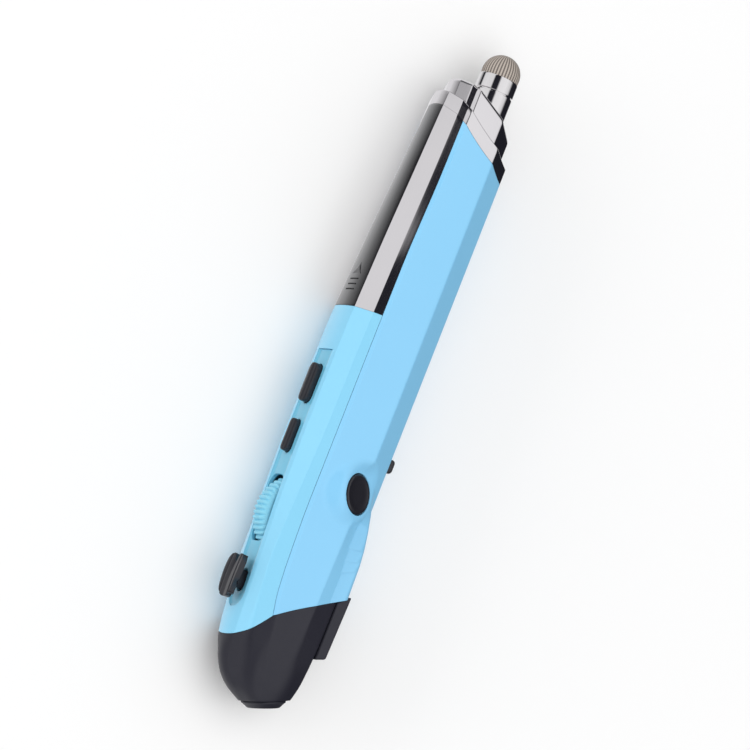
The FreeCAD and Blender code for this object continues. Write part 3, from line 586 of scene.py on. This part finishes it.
BUTTON_CENTRE = Vector((49.72, -4.03, 9.23))
BUTTON_RADIUS = 4.3
TURN, TILT = math.radians(28.0), math.radians(12.0)    # to the back, and towards the far end
BUTTON_AXIS = Vector((math.sin(TILT), -math.sin(TURN) * math.cos(TILT),
                      math.cos(TURN) * math.cos(TILT)))
DISH_RADIUS, DISH_LEVEL = 7.6, -0.28

# The hump over the stowed plug: its crest along x, then its half width along x.
HUMP_X = (20.0, 27.0, 36.0, 40.0, 43.0, 47.0, 50.0)
HUMP_CREST = (-12.5, -12.72, -12.6, -12.3, -11.85, -11.1, -10.4)
HUMP_SIDE_X = (27.0, 36.0, 44.0, 50.0)
HUMP_SIDE = (7.3, 7.0, 6.5, 5.7)
HUMP_TOP, HUMP_END, HUMP_DEPTH, HUMP_POWER = -5.0, 50.0, 3.4, 3.3
HUMP_PULL, HUMP_PULL_END, HUMP_PULL_LENGTH = 0.6, 41.0, 13.0   # raised points also move along x
KNOB_X, KNOB_TRAVEL = 59.1, 2.0

KEEL_TIP, KEEL_END, KEEL_HALF = (14.3, -12.3), (30.0, -12.75), 6.3
KEEL_SEAT, SEAT_PLAY = -9.95, 0.12  # f of the nose's flat that the receiver lies on, and its gap


def strip_outline(grow=0.0):
    """The key strip's outline in (x, s): round at the lower end, square at the upper."""
    half = STRIP_HALF + grow
    centre = STRIP_START + STRIP_HALF
    low = [(centre - half * math.sin(a), half * math.cos(a))
           for a in np.linspace(0, math.pi, 25)]
    return low + [(STRIP_END + grow, -half), (STRIP_END + grow, half)]


def front_height(x, s):
    """f of the front face at x and s."""
    near = section_point(np.full(FACE_STEPS + 1, x), np.arange(FACE_STEPS + 1))
    return float(np.interp(abs(s), near[:, 1], near[:, 0]))


def build_nose():
    shell = skin("nose_shell", FULL_RING, foot_plane, parting(-GAP), 46)
    solidify(shell, 1.2)
    soften(shell, 0.12)
    finish(shell, "pen_body", "shell_black", BLACK, "nose_shell")

    centre = (*FOOT_TOP, 0.0)
    axis = Vector((-math.cos(NOSE_LEAN), -math.sin(NOSE_LEAN), 0.0))
    profile = [(2.25, -0.6), (4.2, -0.6), (4.55, -0.05), (4.62, 0.12)]
    profile += arc_profile(4.45, 0.3, 0.3, -20, 70, 6)
    profile += [(4.1, 0.95), (3.72, 1.36)] + arc_profile(3.3, 1.28, 0.32, 35, 90, 5)
    profile += [(2.45, 1.6), (2.32, 1.52), (2.25, 1.4)]
    profile.append(profile[0])
    foot = turned("sensor_foot", profile, centre, axis, 96)
    soften(foot)
    finish(foot, "pen_body", "shell_black", BLACK, "sensor_foot")

    profile = [(0.0, -0.5), (2.2, -0.5), (2.2, 0.95), (2.1, 1.05), (1.4, 1.05)]
    profile += arc_profile(0.0, -1.4, 2.75, 68, 90, 5)
    lens = turned("sensor_lens", profile, centre, axis)
    soften(lens)
    finish(lens, "pen_body", "clear_lens", LENS, "sensor_lens")


def build_front_cover():
    cover = skin("front_cover", FRONT_COLUMNS, parting(GAP), constant(PANEL_START - GAP), 130,
                 JOINT)
    solidify(cover, 1.1)
    cut(cover, prism("strip_cut", strip_outline(0.04), 4.0, 16.0, "f"))
    soften(cover, 0.11)
    finish(cover, "pen_body", "shell_blue", FRONT_BLUE, "front_cover")


def build_rear_shell():
    shell = skin("rear_shell", REAR_COLUMNS, parting(GAP), crown(-GAP), 230, JOINT)
    shape_rear(shell)
    solidify(shell, 1.1)
    wide = BUTTON_RADIUS + 0.22
    hole = turned("hole_cut", [(0.0, -7.0), (wide, -7.0), (wide, 3.0), (0.0, 3.0)],
                  BUTTON_CENTRE, BUTTON_AXIS, 96)
    travel = round_rectangle(KNOB_X + KNOB_TRAVEL / 2, 2.4 + KNOB_TRAVEL, 2.0, 0.5)
    cut(shell, hole, prism("slot_cut", travel, -14.0, -8.5, "f"))
    soften(shell, 0.1)
    finish(shell, "pen_body", "shell_blue", BLUE, "rear_shell")


def keel_back(x):
    """f of the receiver's back face."""
    slope = (KEEL_END[1] - KEEL_TIP[1]) / (KEEL_END[0] - KEEL_TIP[0])
    return KEEL_TIP[1] + slope * (x - KEEL_TIP[0])


def shape_rear(shell):
    """Raises the hump over the stowed plug and sinks a shallow dish round the side button."""
    for vertex in shell.data.vertices:
        x, f, side = REACH - vertex.co.x / MM, -vertex.co.y / MM, vertex.co.z / MM - HALF
        half = np.interp(x, HUMP_SIDE_X, HUMP_SIDE)
        if x < HUMP_END and f < HUMP_TOP and abs(side) < half:
            crest = np.interp(x, HUMP_X, HUMP_CREST)
            arch = (1 - (abs(side) / half) ** HUMP_POWER) ** (1 / HUMP_POWER)
            raised = max(0.0, f - crest - HUMP_DEPTH * (1 - arch))
            f -= raised
            pull = float(np.clip((HUMP_PULL_END - x) / HUMP_PULL_LENGTH, 0.0, 1.0))
            x += raised * HUMP_PULL * pull
        point = Vector((x, f, side))
        away = point - BUTTON_CENTRE
        height = away.dot(BUTTON_AXIS)
        radius = (away - BUTTON_AXIS * height).length
        if side > 0 and radius < DISH_RADIUS and height > -5.0:
            t = min(1.0, (DISH_RADIUS - radius) / (DISH_RADIUS - BUTTON_RADIUS - 0.3))
            weight = t * t * (3 - 2 * t)
            point += BUTTON_AXIS * (DISH_LEVEL - height) * weight
        vertex.co = place(*point)


def build_key_strip():
    half, centre = STRIP_HALF - 0.03, STRIP_START + STRIP_HALF
    across = [-v for v in STRIP_ACROSS[:0:-1]] + list(STRIP_ACROSS)
    stations = [centre - half * math.cos(a) for a in np.linspace(0.06, math.pi / 2, 16)]
    stations += list(np.linspace(centre, STRIP_END - 0.03, 110))[1:]
    points = []
    for x in stations:
        reach = half if x >= centre else math.sqrt(max(half ** 2 - (centre - x) ** 2, 1e-6))
        for v in across:
            s = reach * v
            rim = min(reach - abs(s), x - stations[0] + 0.05)
            sink = STRIP_SINK * min(1.0, max(0.0, rim / STRIP_RIM)) + 0.05
            points.append((x, front_height(x, s) - sink, s))
    strip = mesh_object("key_strip", points, grid_faces(len(stations), len(across)))
    face_front(strip)
    solidify(strip, 0.8)
    holes = [prism("wheel_cut", round_rectangle(WHEEL_X, *WHEEL_SLOT), *CUT_FRONT, "f"),
             prism("stem_cut", round_rectangle(ROCKER_X, 5.2, 3.2, 1.55), *CUT_FRONT, "f")]
    for x, length, width, _ in PAGE_KEYS.values():
        outline = round_rectangle(x, length + 0.4, width + 0.4, KEY_END * width + 0.2, 12)
        holes.append(prism("key_cut", outline, *CUT_FRONT, "f"))
    cut(strip, *holes)
    soften(strip, 0.09)
    finish(strip, "pen_body", "strip_blue", STRIP_BLUE, "key_strip")


# ---- keys, wheel and buttons --------------------------------------------------------------------
def rounded_ring(centre, length, width, power, count):
    """Superellipse in (x, s), between a rectangle and an ellipse."""
    ring = []
    for i in range(count):
        a = 2 * math.pi * i / count
        cx, cs = math.cos(a), math.sin(a)
        ring.append((centre + length / 2 * math.copysign(abs(cx) ** (2 / power), cx),
                     width / 2 * math.copysign(abs(cs) ** (2 / power), cs)))
    return ring


def build_page_keys():
    for name, (x, length, width, rise) in PAGE_KEYS.items():
        face = front_height(x, 0) - STRIP_SINK
        levels = [(0.0, -1.9), (1.0, -1.9), (1.0, rise - 0.75), (0.985, rise - 0.5),
                  (0.94, rise - 0.25), (0.86, rise - 0.09), (0.72, rise), (0.5, rise + 0.03),
                  (0.25, rise + 0.05), (0.0, rise + 0.05)]
        outline = round_rectangle(0.0, length, width, KEY_END * width, KEY_STEPS)
        points = []
        for scale, height in levels:
            shrink = (1 - scale) * width / 2
            for px, ps in outline:
                inner_x = math.copysign(max(0.0, abs(px) - shrink), px) if scale else 0.0
                inner_s = ps * scale
                roof = 0.3 * abs(inner_s) / (width / 2) if height > 0 else 0.0
                groove = 0.1 * math.exp(-((inner_s / 0.16) ** 2)) if height > rise - 0.3 else 0.0
                points.append((x + inner_x, face + height - roof - groove, inner_s))
        key = mesh_object(name, points, grid_faces(len(levels), len(outline), True))
        outward(key)
        soften(key)
        finish(key, PAGE_BODIES[name], "key_black", KEY_BLACK, name)


def build_wheel():
    half = WHEEL_WIDTH / 2
    side = [(1.1, -half + 1.2), (2.3, -half + 1.2), (2.4, -half + 0.35), (2.7, -half + 0.15),
            (6.2, -half + 0.9), (6.5, -half + 0.1), (6.9, -half)]
    root, rounding = WHEEL_RADIUS - WHEEL_RIB, WHEEL_ROUNDING
    shoulder = [(root - rounding + rounding * math.sin(a),
                 -half + rounding - rounding * math.cos(a))
                for a in np.linspace(0.1, math.pi / 2, 8)]
    tread = shoulder + [(root, z) for z in (-0.6, 0.0, 0.6)]
    tread += [(r, -z) for r, z in reversed(shoulder)]
    profile = side + tread + [(r, -z) for r, z in reversed(side)] + side[:1]
    first = len(side)

    def wave(angle, k):
        if not first <= k < first + len(tread):
            return 0.0
        share = (k - first) / (len(tread) - 1)
        fade = min(1.0, 5.0 * min(share, 1 - share) + 0.1)
        return WHEEL_RIB * fade * abs(math.sin(angle * WHEEL_RIBS / 2))

    wheel = turned("scroll_wheel", profile, (WHEEL_X, WHEEL_DEPTH, 0.0), (0, 0, 1),
                   WHEEL_COUNT, wave)
    soften(wheel)
    finish(wheel, "wheel", "wheel_rubber", WHEEL_BLUE, "scroll_wheel")


def rocker_row(share, v, crest):
    """Point of the plate's top: share along its length, v across from -1 to 1."""
    aside = abs(v)
    start = ROCKER_X - ROCKER_LENGTH / 2
    low = start + ROCKER_HALF * 1.15 * (1 - math.sqrt(max(0.0, 1 - (aside * 0.995) ** 2.2)))
    ear = 1.25 * max(0.0, aside - 0.55) ** 2 / 0.2 + 0.5 * max(0.0, 0.3 - aside) / 0.3
    notch = 1.6 * max(0.0, 1 - aside / 0.22) ** 0.8
    high = start + ROCKER_LENGTH - min(ear, 1.6) - notch
    bow = 0.14 * (2 * share - 1) ** 2
    crease = ROCKER_VEE * (1 - aside) ** 1.2 + 0.18 * math.exp(-((aside - 0.62) / 0.07) ** 2)
    return low + (high - low) * share, crest - crease - bow, ROCKER_HALF * v


def build_rocker():
    crest = front_height(ROCKER_X, 4.4) + 3.4
    along, across = np.linspace(0, 1, 56), np.linspace(-1, 1, 45)
    points = [rocker_row(share, v, crest) for share in along for v in across]
    plate = mesh_object("rocker_plate", points, grid_faces(len(along), len(across)))
    face_front(plate)
    solidify(plate, ROCKER_THICK)
    soften(plate, 0.28, 4)
    finish(plate, "rocker", "key_black", KEY_BLACK)

    under = crest - ROCKER_THICK
    levels = [(0.0, 6.4), (1.0, 6.4), (1.0, under - 0.75), (1.06, under - 0.45),
              (1.25, under - 0.15), (0.0, under - 0.1)]
    ring = rounded_ring(0.0, STEM_LENGTH, STEM_WIDTH, STEM_POWER, 64)
    points = [(ROCKER_X + x * scale, f, s * scale) for scale, f in levels for x, s in ring]
    stem = mesh_object("rocker_stem", points, grid_faces(len(levels), len(ring), True))
    outward(stem)
    soften(stem)
    finish(stem, "rocker", "key_black", KEY_BLACK, "rocker_key")

    profile = [(0.62, -2.6), (1.0, -2.6), (1.1, -2.5), (1.1, 2.5), (1.0, 2.6), (0.62, 2.6),
               (0.62, -2.6)]
    hub = turned("rocker_hub", profile, (ROCKER_X, 6.7, 0.0), (1, 0, 0), 48)
    soften(hub)
    finish(hub, "rocker", "key_black", KEY_BLACK)
    arm = prism("rocker_arm", round_rectangle(ROCKER_X, 2.8, 8.0, 0.4), 6.2, 7.0, "f")
    soften(arm, 0.1)
    finish(arm, "rocker", "key_black", KEY_BLACK)


def build_side_button():
    r = BUTTON_RADIUS
    profile = [(0.0, -0.12), (r * 0.5, -0.1), (r * 0.8, -0.05), (r - 0.75, 0.0)]
    profile += arc_profile(r - 0.55, -0.55, 0.55, 80, 0)
    profile += [(r, -2.3), (r + 0.45, -2.4), (r + 0.45, -2.8),
                (r - 1.2, -2.8), (r - 1.2, -1.3), (0.0, -1.2)]
    button = turned("side_button", profile, BUTTON_CENTRE, BUTTON_AXIS, 96)
    soften(button)
    finish(button, "side_key", "key_black", KEY_BLACK, "side_button")


def build_power_knob():
    knob = prism("power_knob", round_rectangle(KNOB_X, 3.1, 3.2, 0.9), BACK - 2.0, BACK - 0.18, "f")
    soften(knob, 0.6, 4, 60.0)
    finish(knob, "power_knob", "key_black", KEY_BLACK)
    neck = prism("power_neck", round_rectangle(KNOB_X, 2.1, 1.7, 0.3), BACK - 0.5, BACK + 1.5, "f")
    plate = prism("power_plate", round_rectangle(KNOB_X, 5.2, 4.8, 0.5),
                  BACK + 1.4, BACK + 1.9, "f")
    for piece in (neck, plate):
        soften(piece, 0.1)
        finish(piece, "power_knob", "key_black", KEY_BLACK)
    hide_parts("power_slider")


def build_receiver():
    tip, back = KEEL_TIP
    top = KEEL_SEAT + SEAT_PLAY
    outline = [(tip, top), (tip + math.tan(NOSE_LEAN) * (KEEL_SEAT - back), back),
               (29.6, keel_back(29.6)), (28.55, BACK), (27.35, top)]
    block = prism("receiver_body", outline, -KEEL_HALF, KEEL_HALF, "s")
    soften(block, 0.45, 4, 25.0)
    finish(block, "receiver", "shell_black", BLACK, "receiver_body")
    blade = [(28.0, -5.2), (40.4, -5.2), (41.2, -4.4), (41.2, 4.4), (40.4, 5.2), (28.0, 5.2)]
    plug = prism("receiver_plug", blade, -11.7, -10.1, "f")
    soften(plug, 0.12)
    finish(plug, "receiver", "steel_part", STEEL, "receiver_plug")
    for s in (-3.6, -1.2, 1.2, 3.6):
        contact = prism("plug_contact", round_rectangle(37.6, 5.6, 1.3, 0.25), -10.12, -10.04, "f")
        contact.location.z = s * MM
        bpy.context.view_layer.update()
        soften(contact, 0.02)
        finish(contact, "receiver", "steel_part", GOLD)


# ---- the cover that slides off: panel, trims, ring, cap and stylus ------------------------------
CAP_INSET, CAP_HEIGHT, CAP_SLOPE, CAP_ROUNDING = 1.6, 6.5, 0.5, 1.3
CAP_MIDDLE = (-1.6, 0.0)
CAP_RADII = (0.5, 0.4, 0.4, 0.5, 1.4, 1.4)
MARK_LINES, MARK_ARROW = (90.1, 91.3, 92.5), 93.7     # x of the slide mark's lines and triangle
LINE_THICKNESS, LINE_HALF, ARROW_LENGTH, ARROW_HALF = 0.38, 1.85, 2.9, 1.9
MARK_SIDE = -0.45
MARK_PROFILE = ((0.0, -0.02), (0.22, 0.07), (0.5, 0.09), (0.78, 0.07), (1.0, -0.02))


def build_panel():
    columns = list(range(-EDGE, EDGE + 1))
    panel = skin("cover_panel", columns, constant(PANEL_START + GAP), crown(CROWN_GAP), 100)
    solidify(panel, 1.0)
    soften(panel, 0.06)
    finish(panel, "cover", "panel_dark", PANEL, "battery_cover")

    for k, at in enumerate(MARK_LINES):
        slide_mark("slide_line_%d" % k, LINE_HALF, MARK, at - LINE_THICKNESS / 2,
                   lambda share: LINE_THICKNESS)
    slide_mark("slide_arrow", ARROW_HALF, ARROW, MARK_ARROW,
               lambda share: 0.05 + ARROW_LENGTH * (1 - abs(share)))


def slide_mark(name, half, material, low, length):
    """A raised mark on the panel: length gives its extent in x at each share of its half width."""
    shares = np.linspace(-1, 1, 17)
    points = []
    for along, rise in MARK_PROFILE:
        for share in shares:
            x, side = low + length(share) * along, MARK_SIDE + half * share
            points.append((x, front_height(x, side) + rise, side))
    mark = mesh_object(name, points, grid_faces(len(MARK_PROFILE), len(shares)))
    face_front(mark)
    solidify(mark, 0.2)
    soften(mark, angle=25.0)
    finish(mark, "cover", "panel_dark", material)


def build_trims():
    for name, sign in (("trim_right", 1), ("trim_left", -1)):
        columns = [sign * k for k in range(EDGE, SEAM)][::sign]
        trim = skin(name, columns, constant(PANEL_START), crown(CROWN_GAP), 60, 0.03)
        solidify(trim, 0.9)
        soften(trim, 0.07)
        finish(trim, "cover", "chrome_trim", CHROME, name)


def drawn_in(outline, amount):
    """The outline drawn in towards the cap's middle by an amount on every side."""
    middle = np.array(CAP_MIDDLE)
    return middle + (outline - middle) * (1 - amount / np.abs(outline - middle).max(0))


def build_ring():
    columns = np.array(FULL_RING)
    levels = [(0.02, 0.0), (1.2, 0.0), (2.4, 0.0), (RING_HEIGHT - 0.22, 0.0),
              (RING_HEIGHT - 0.06, 0.07), (RING_HEIGHT, 0.22), (RING_HEIGHT, 1.0),
              (RING_HEIGHT, 2.4), (0.6, 2.4), (0.02, 1.2)]
    points = []
    for rise, amount in levels:
        ring = drawn_in(section_point(edge_x(crown(rise), columns), columns), amount)
        at = crown(rise)(ring[:, 0])
        points.extend((at[j], ring[j, 0], ring[j, 1]) for j in range(len(columns)))
    count = len(columns)
    faces = grid_faces(len(levels), count, True)
    last = (len(levels) - 1) * count
    faces += [(last + j, last + (j + 1) % count, (j + 1) % count, j) for j in range(count)]
    ring = mesh_object("crown_ring", points, faces)
    outward(ring)
    soften(ring, angle=50.0)
    finish(ring, "cover", "chrome_trim", CHROME, "crown_ring")


def build_cap():
    half = half_section(np.array(BODY_STATIONS[-1][1:], float), CAP_RADII, 0.25)
    outline = np.vstack([half, half[-2:0:-1] * (1, -1)])
    count = len(outline)
    middle = np.array(CAP_MIDDLE)
    top = CROWN_X + RING_HEIGHT + CAP_HEIGHT

    # Rings of the cap and how far each lies below the top. The first stands inside the crown ring.
    rings = [(drawn_in(outline, CAP_INSET), None)]
    for turn in np.linspace(0, math.pi / 2, 8):
        ring = drawn_in(outline, CAP_INSET + CAP_ROUNDING * (1 - math.cos(turn)))
        rings.append((ring, CAP_ROUNDING * (1 - math.sin(turn))))
    inner = rings[-1][0]
    for scale, drop in ((0.8, -0.1), (0.6, -0.16), (0.4, -0.2), (0.2, -0.22), (0.01, -0.22)):
        rings.append((middle + (inner - middle) * scale, drop))
    points = []
    for ring, drop in rings:
        low = crown(RING_HEIGHT)(ring[:, 0]) - 0.9
        high = top + CAP_SLOPE * ring[:, 0] - (drop or 0.0)
        xs = low if drop is None else high
        points.extend((xs[j], ring[j, 0], ring[j, 1]) for j in range(count))
    cap = mesh_object("end_cap", points, grid_faces(len(rings), count, True))
    bm = bmesh.new()
    bm.from_mesh(cap.data)
    bm.verts.ensure_lookup_table()
    bm.faces.new(bm.verts[:count])
    bm.faces.new(bm.verts[-count:])
    bm.to_mesh(cap.data)
    bm.free()
    outward(cap)
    soften(cap)
    finish(cap, "cover", "chrome_trim", CHROME, "end_cap")


def fibre_ribs(angle, k):
    """Fine ribs on the dome, above the rows that stand in the ferrule."""
    return 0.045 * math.sin(angle * FIBRE_RIBS) if k > 2 else 0.0


def build_stylus():
    r, dome_radius, dome_x = STYLUS_RADIUS, 4.15, 145.85
    tube = [(0.0, 131.5), (r, 131.5), (r, 141.1), (r - 0.12, 141.25), (r - 0.5, 141.3),
            (0.0, 141.3)]
    ferrule = [(0.0, 141.2), (r - 0.42, 141.2), (r - 0.42, 141.55), (r - 0.12, 141.58),
               (r + 0.02, 141.75), (r + 0.02, 144.55), (r - 0.1, 144.8), (r - 0.35, 144.9),
               (r - 0.7, 144.85), (0.0, 144.6)]
    dome = [(0.0, 144.0), (r - 0.55, 144.0), (r - 0.12, 144.9)]
    dome += [(dome_radius * math.cos(a), dome_x + dome_radius * math.sin(a))
             for a in np.linspace(-0.1, math.pi / 2 - 0.06, 24)]
    dome += [(0.06, 150.0)]
    metal = (TUBE_CHROME, "stylus_metal", 128, None)
    for name, profile, (material, slot, count, wave) in (
            ("stylus_tube", tube, metal), ("stylus_ferrule", ferrule, metal),
            ("stylus_tip", dome, (FIBRE, "stylus_fibre", 456, fibre_ribs))):
        piece = turned(name, profile, (0.0, STYLUS_DEPTH, 0.0), (1, 0, 0), count, wave)
        soften(piece)
        finish(piece, "cover", slot, material, name)


# ---- inside parts, kept from the CAD ------------------------------------------------------------
INSIDE = (
    (CHIP, ("optical_sensor", "page_switches", "wheel_encoder", "left_switch", "right_switch",
            "side_switch", "power_switch")),
    (STEEL, ("wheel_axle", "rocker_pin", "board_screws", "contact_plate", "contact_spring")),
    (FRAME_GREY, ("wheel_carrier", "rocker_posts", "side_bracket", "battery_tray")),
    (BOARD, ("main_board", "key_board")),
    (SLEEVE, ("battery_cell",)),
    (LENS, ("sensor_led",)),
)


def dress_inside():
    for material, names in INSIDE:
        for name in names:
            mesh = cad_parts[name].data
            mesh.materials.clear()
            mesh.materials.append(material)


# ---- floor, light and camera --------------------------------------------------------------------
VIEW_SIDE, VIEW_DOWN, VIEW_ROLL = math.radians(8.5), math.radians(25.0), math.radians(21.5)
DISTANCE, PICTURE_WIDTH = 1.6, 0.1575           # metres to the pen, and across the picture there
AIM_AT, AIM_PIXEL = (49.6, -3.7, 9.95), (359.3, 494.5)   # a point of the pen and its pixel
EVEN_LIGHT = 0.72
# Angle round the pen's axis, from +Y (0) over the top (90) to -Y (180), and the brightness there.
SKY = ((-180, 0.85), (-155, 0.8), (-148, 0.016), (-138, 0.02), (-128, 0.45), (-112, 0.85),
       (-60, 0.8), (-45, 0.45), (-36, 0.015), (20, 0.015), (34, 0.75), (60, 0.95), (100, 0.9),
       (109, 0.02), (138, 0.015), (144, 0.8), (180, 0.85))
LAMPS = (("overhead", (0.05, 0.1, 1.0), 1.3, 1.6, 1.6, 8.2),
         ("keys_side", (-0.1, -0.96, 0.26), 1.1, 1.4, 0.5, 4.2))


def build_floor():
    bpy.ops.mesh.primitive_grid_add(x_subdivisions=8, y_subdivisions=8, size=6.0)
    floor = bpy.context.object
    floor.name = "floor"
    surface = Surface("floor_paper", srgb("f4f4f4"), 0.9)
    surface.tint(surface.noise(3.0), srgb("f6f6f6"), srgb("f2f2f2"))
    surface.bump(surface.noise(900.0, 2.0), 0.05, 0.00001)
    floor.data.materials.append(surface.material)
    floor.visible_glossy = False


def build_world():
    """Even light, but gloss mirrors light panels with dark gaps, in strips along the pen."""
    world = bpy.data.worlds.new("studio")
    bpy.context.scene.world = world
    world.use_nodes = True
    nodes, links = world.node_tree.nodes, world.node_tree.links
    where = nodes.new("ShaderNodeTexCoord")
    split = nodes.new("ShaderNodeSeparateXYZ")
    links.new(where.outputs["Generated"], split.inputs[0])
    turn = nodes.new("ShaderNodeMath")
    turn.operation = "ARCTAN2"
    links.new(split.outputs["Z"], turn.inputs[0])
    links.new(split.outputs["Y"], turn.inputs[1])
    share = nodes.new("ShaderNodeMapRange")
    share.inputs["From Min"].default_value = -math.pi
    share.inputs["From Max"].default_value = math.pi
    links.new(turn.outputs[0], share.inputs["Value"])
    ramp = nodes.new("ShaderNodeValToRGB")
    ramp.color_ramp.elements.remove(ramp.color_ramp.elements[1])
    for i, (angle, level) in enumerate(SKY):
        position = (angle + 180.0) / 360.0
        stop = ramp.color_ramp.elements[0] if i == 0 else ramp.color_ramp.elements.new(position)
        stop.position = position
        stop.color = (level, level, level * (1.02 if level > 0.1 else 1.4), 1.0)
    links.new(share.outputs["Result"], ramp.inputs["Fac"])
    path = nodes.new("ShaderNodeLightPath")
    choice = nodes.new("ShaderNodeMix")
    choice.data_type = "RGBA"
    choice.inputs["A"].default_value = (EVEN_LIGHT, EVEN_LIGHT, EVEN_LIGHT, 1.0)
    links.new(path.outputs["Is Glossy Ray"], choice.inputs["Factor"])
    links.new(ramp.outputs["Color"], choice.inputs["B"])
    links.new(choice.outputs["Result"], nodes["Background"].inputs["Color"])
    nodes["Background"].inputs["Strength"].default_value = 1.0
    bpy.context.scene.view_settings.view_transform = "Standard"


def area_light(name, direction, distance, width, height, watts):
    """A soft box that looks at the pen's middle and isn't mirrored. Lengths in metres."""
    lamp = bpy.data.lights.new(name, "AREA")
    lamp.shape = "RECTANGLE"
    lamp.size, lamp.size_y = width, height
    lamp.energy = watts
    holder = bpy.data.objects.new(name, lamp)
    away = Vector(direction).normalized()
    holder.location = Vector(place(REACH, 0.0, 0.0)) + away * distance
    holder.rotation_euler = away.to_track_quat("Z", "Y").to_euler()
    holder.visible_glossy = False
    bpy.context.scene.collection.objects.link(holder)


def build_lights():
    for lamp in LAMPS:
        area_light(*lamp)


def build_camera():
    """Long lens, placed so that AIM_AT falls on AIM_PIXEL."""
    view = Vector((math.sin(VIEW_SIDE), -math.cos(VIEW_SIDE) * math.sin(VIEW_DOWN),
                   math.cos(VIEW_SIDE) * math.cos(VIEW_DOWN)))
    along = Vector((-1, 0, 0))
    along = (along - view * along.dot(view)).normalized()
    across = (-view).cross(along)
    up = along * math.cos(VIEW_ROLL) - across * math.sin(VIEW_ROLL)
    right = across * math.cos(VIEW_ROLL) + along * math.sin(VIEW_ROLL)

    scale, middle = PICTURE_WIDTH / PICTURE, PICTURE / 2
    aim = Vector(place(*AIM_AT))
    centre = aim - right * (AIM_PIXEL[0] - middle) * scale + up * (AIM_PIXEL[1] - middle) * scale
    camera = bpy.data.cameras.new("camera")
    camera.sensor_width = 36.0
    camera.lens = camera.sensor_width * DISTANCE / PICTURE_WIDTH
    camera.clip_start, camera.clip_end = 0.05, 20.0
    holder = bpy.data.objects.new("camera", camera)
    turn = Matrix((right, up, view)).transposed().to_4x4()
    holder.matrix_world = Matrix.Translation(centre + view * DISTANCE) @ turn
    bpy.context.scene.collection.objects.link(holder)
    bpy.context.scene.camera = holder


for build in (build_nose, build_front_cover, build_rear_shell, build_key_strip,
              build_page_keys, build_wheel, build_rocker, build_side_button, build_power_knob,
              build_receiver, build_panel, build_trims, build_ring, build_cap, build_stylus,
              dress_inside, build_floor, build_world, build_lights, build_camera):
    build()
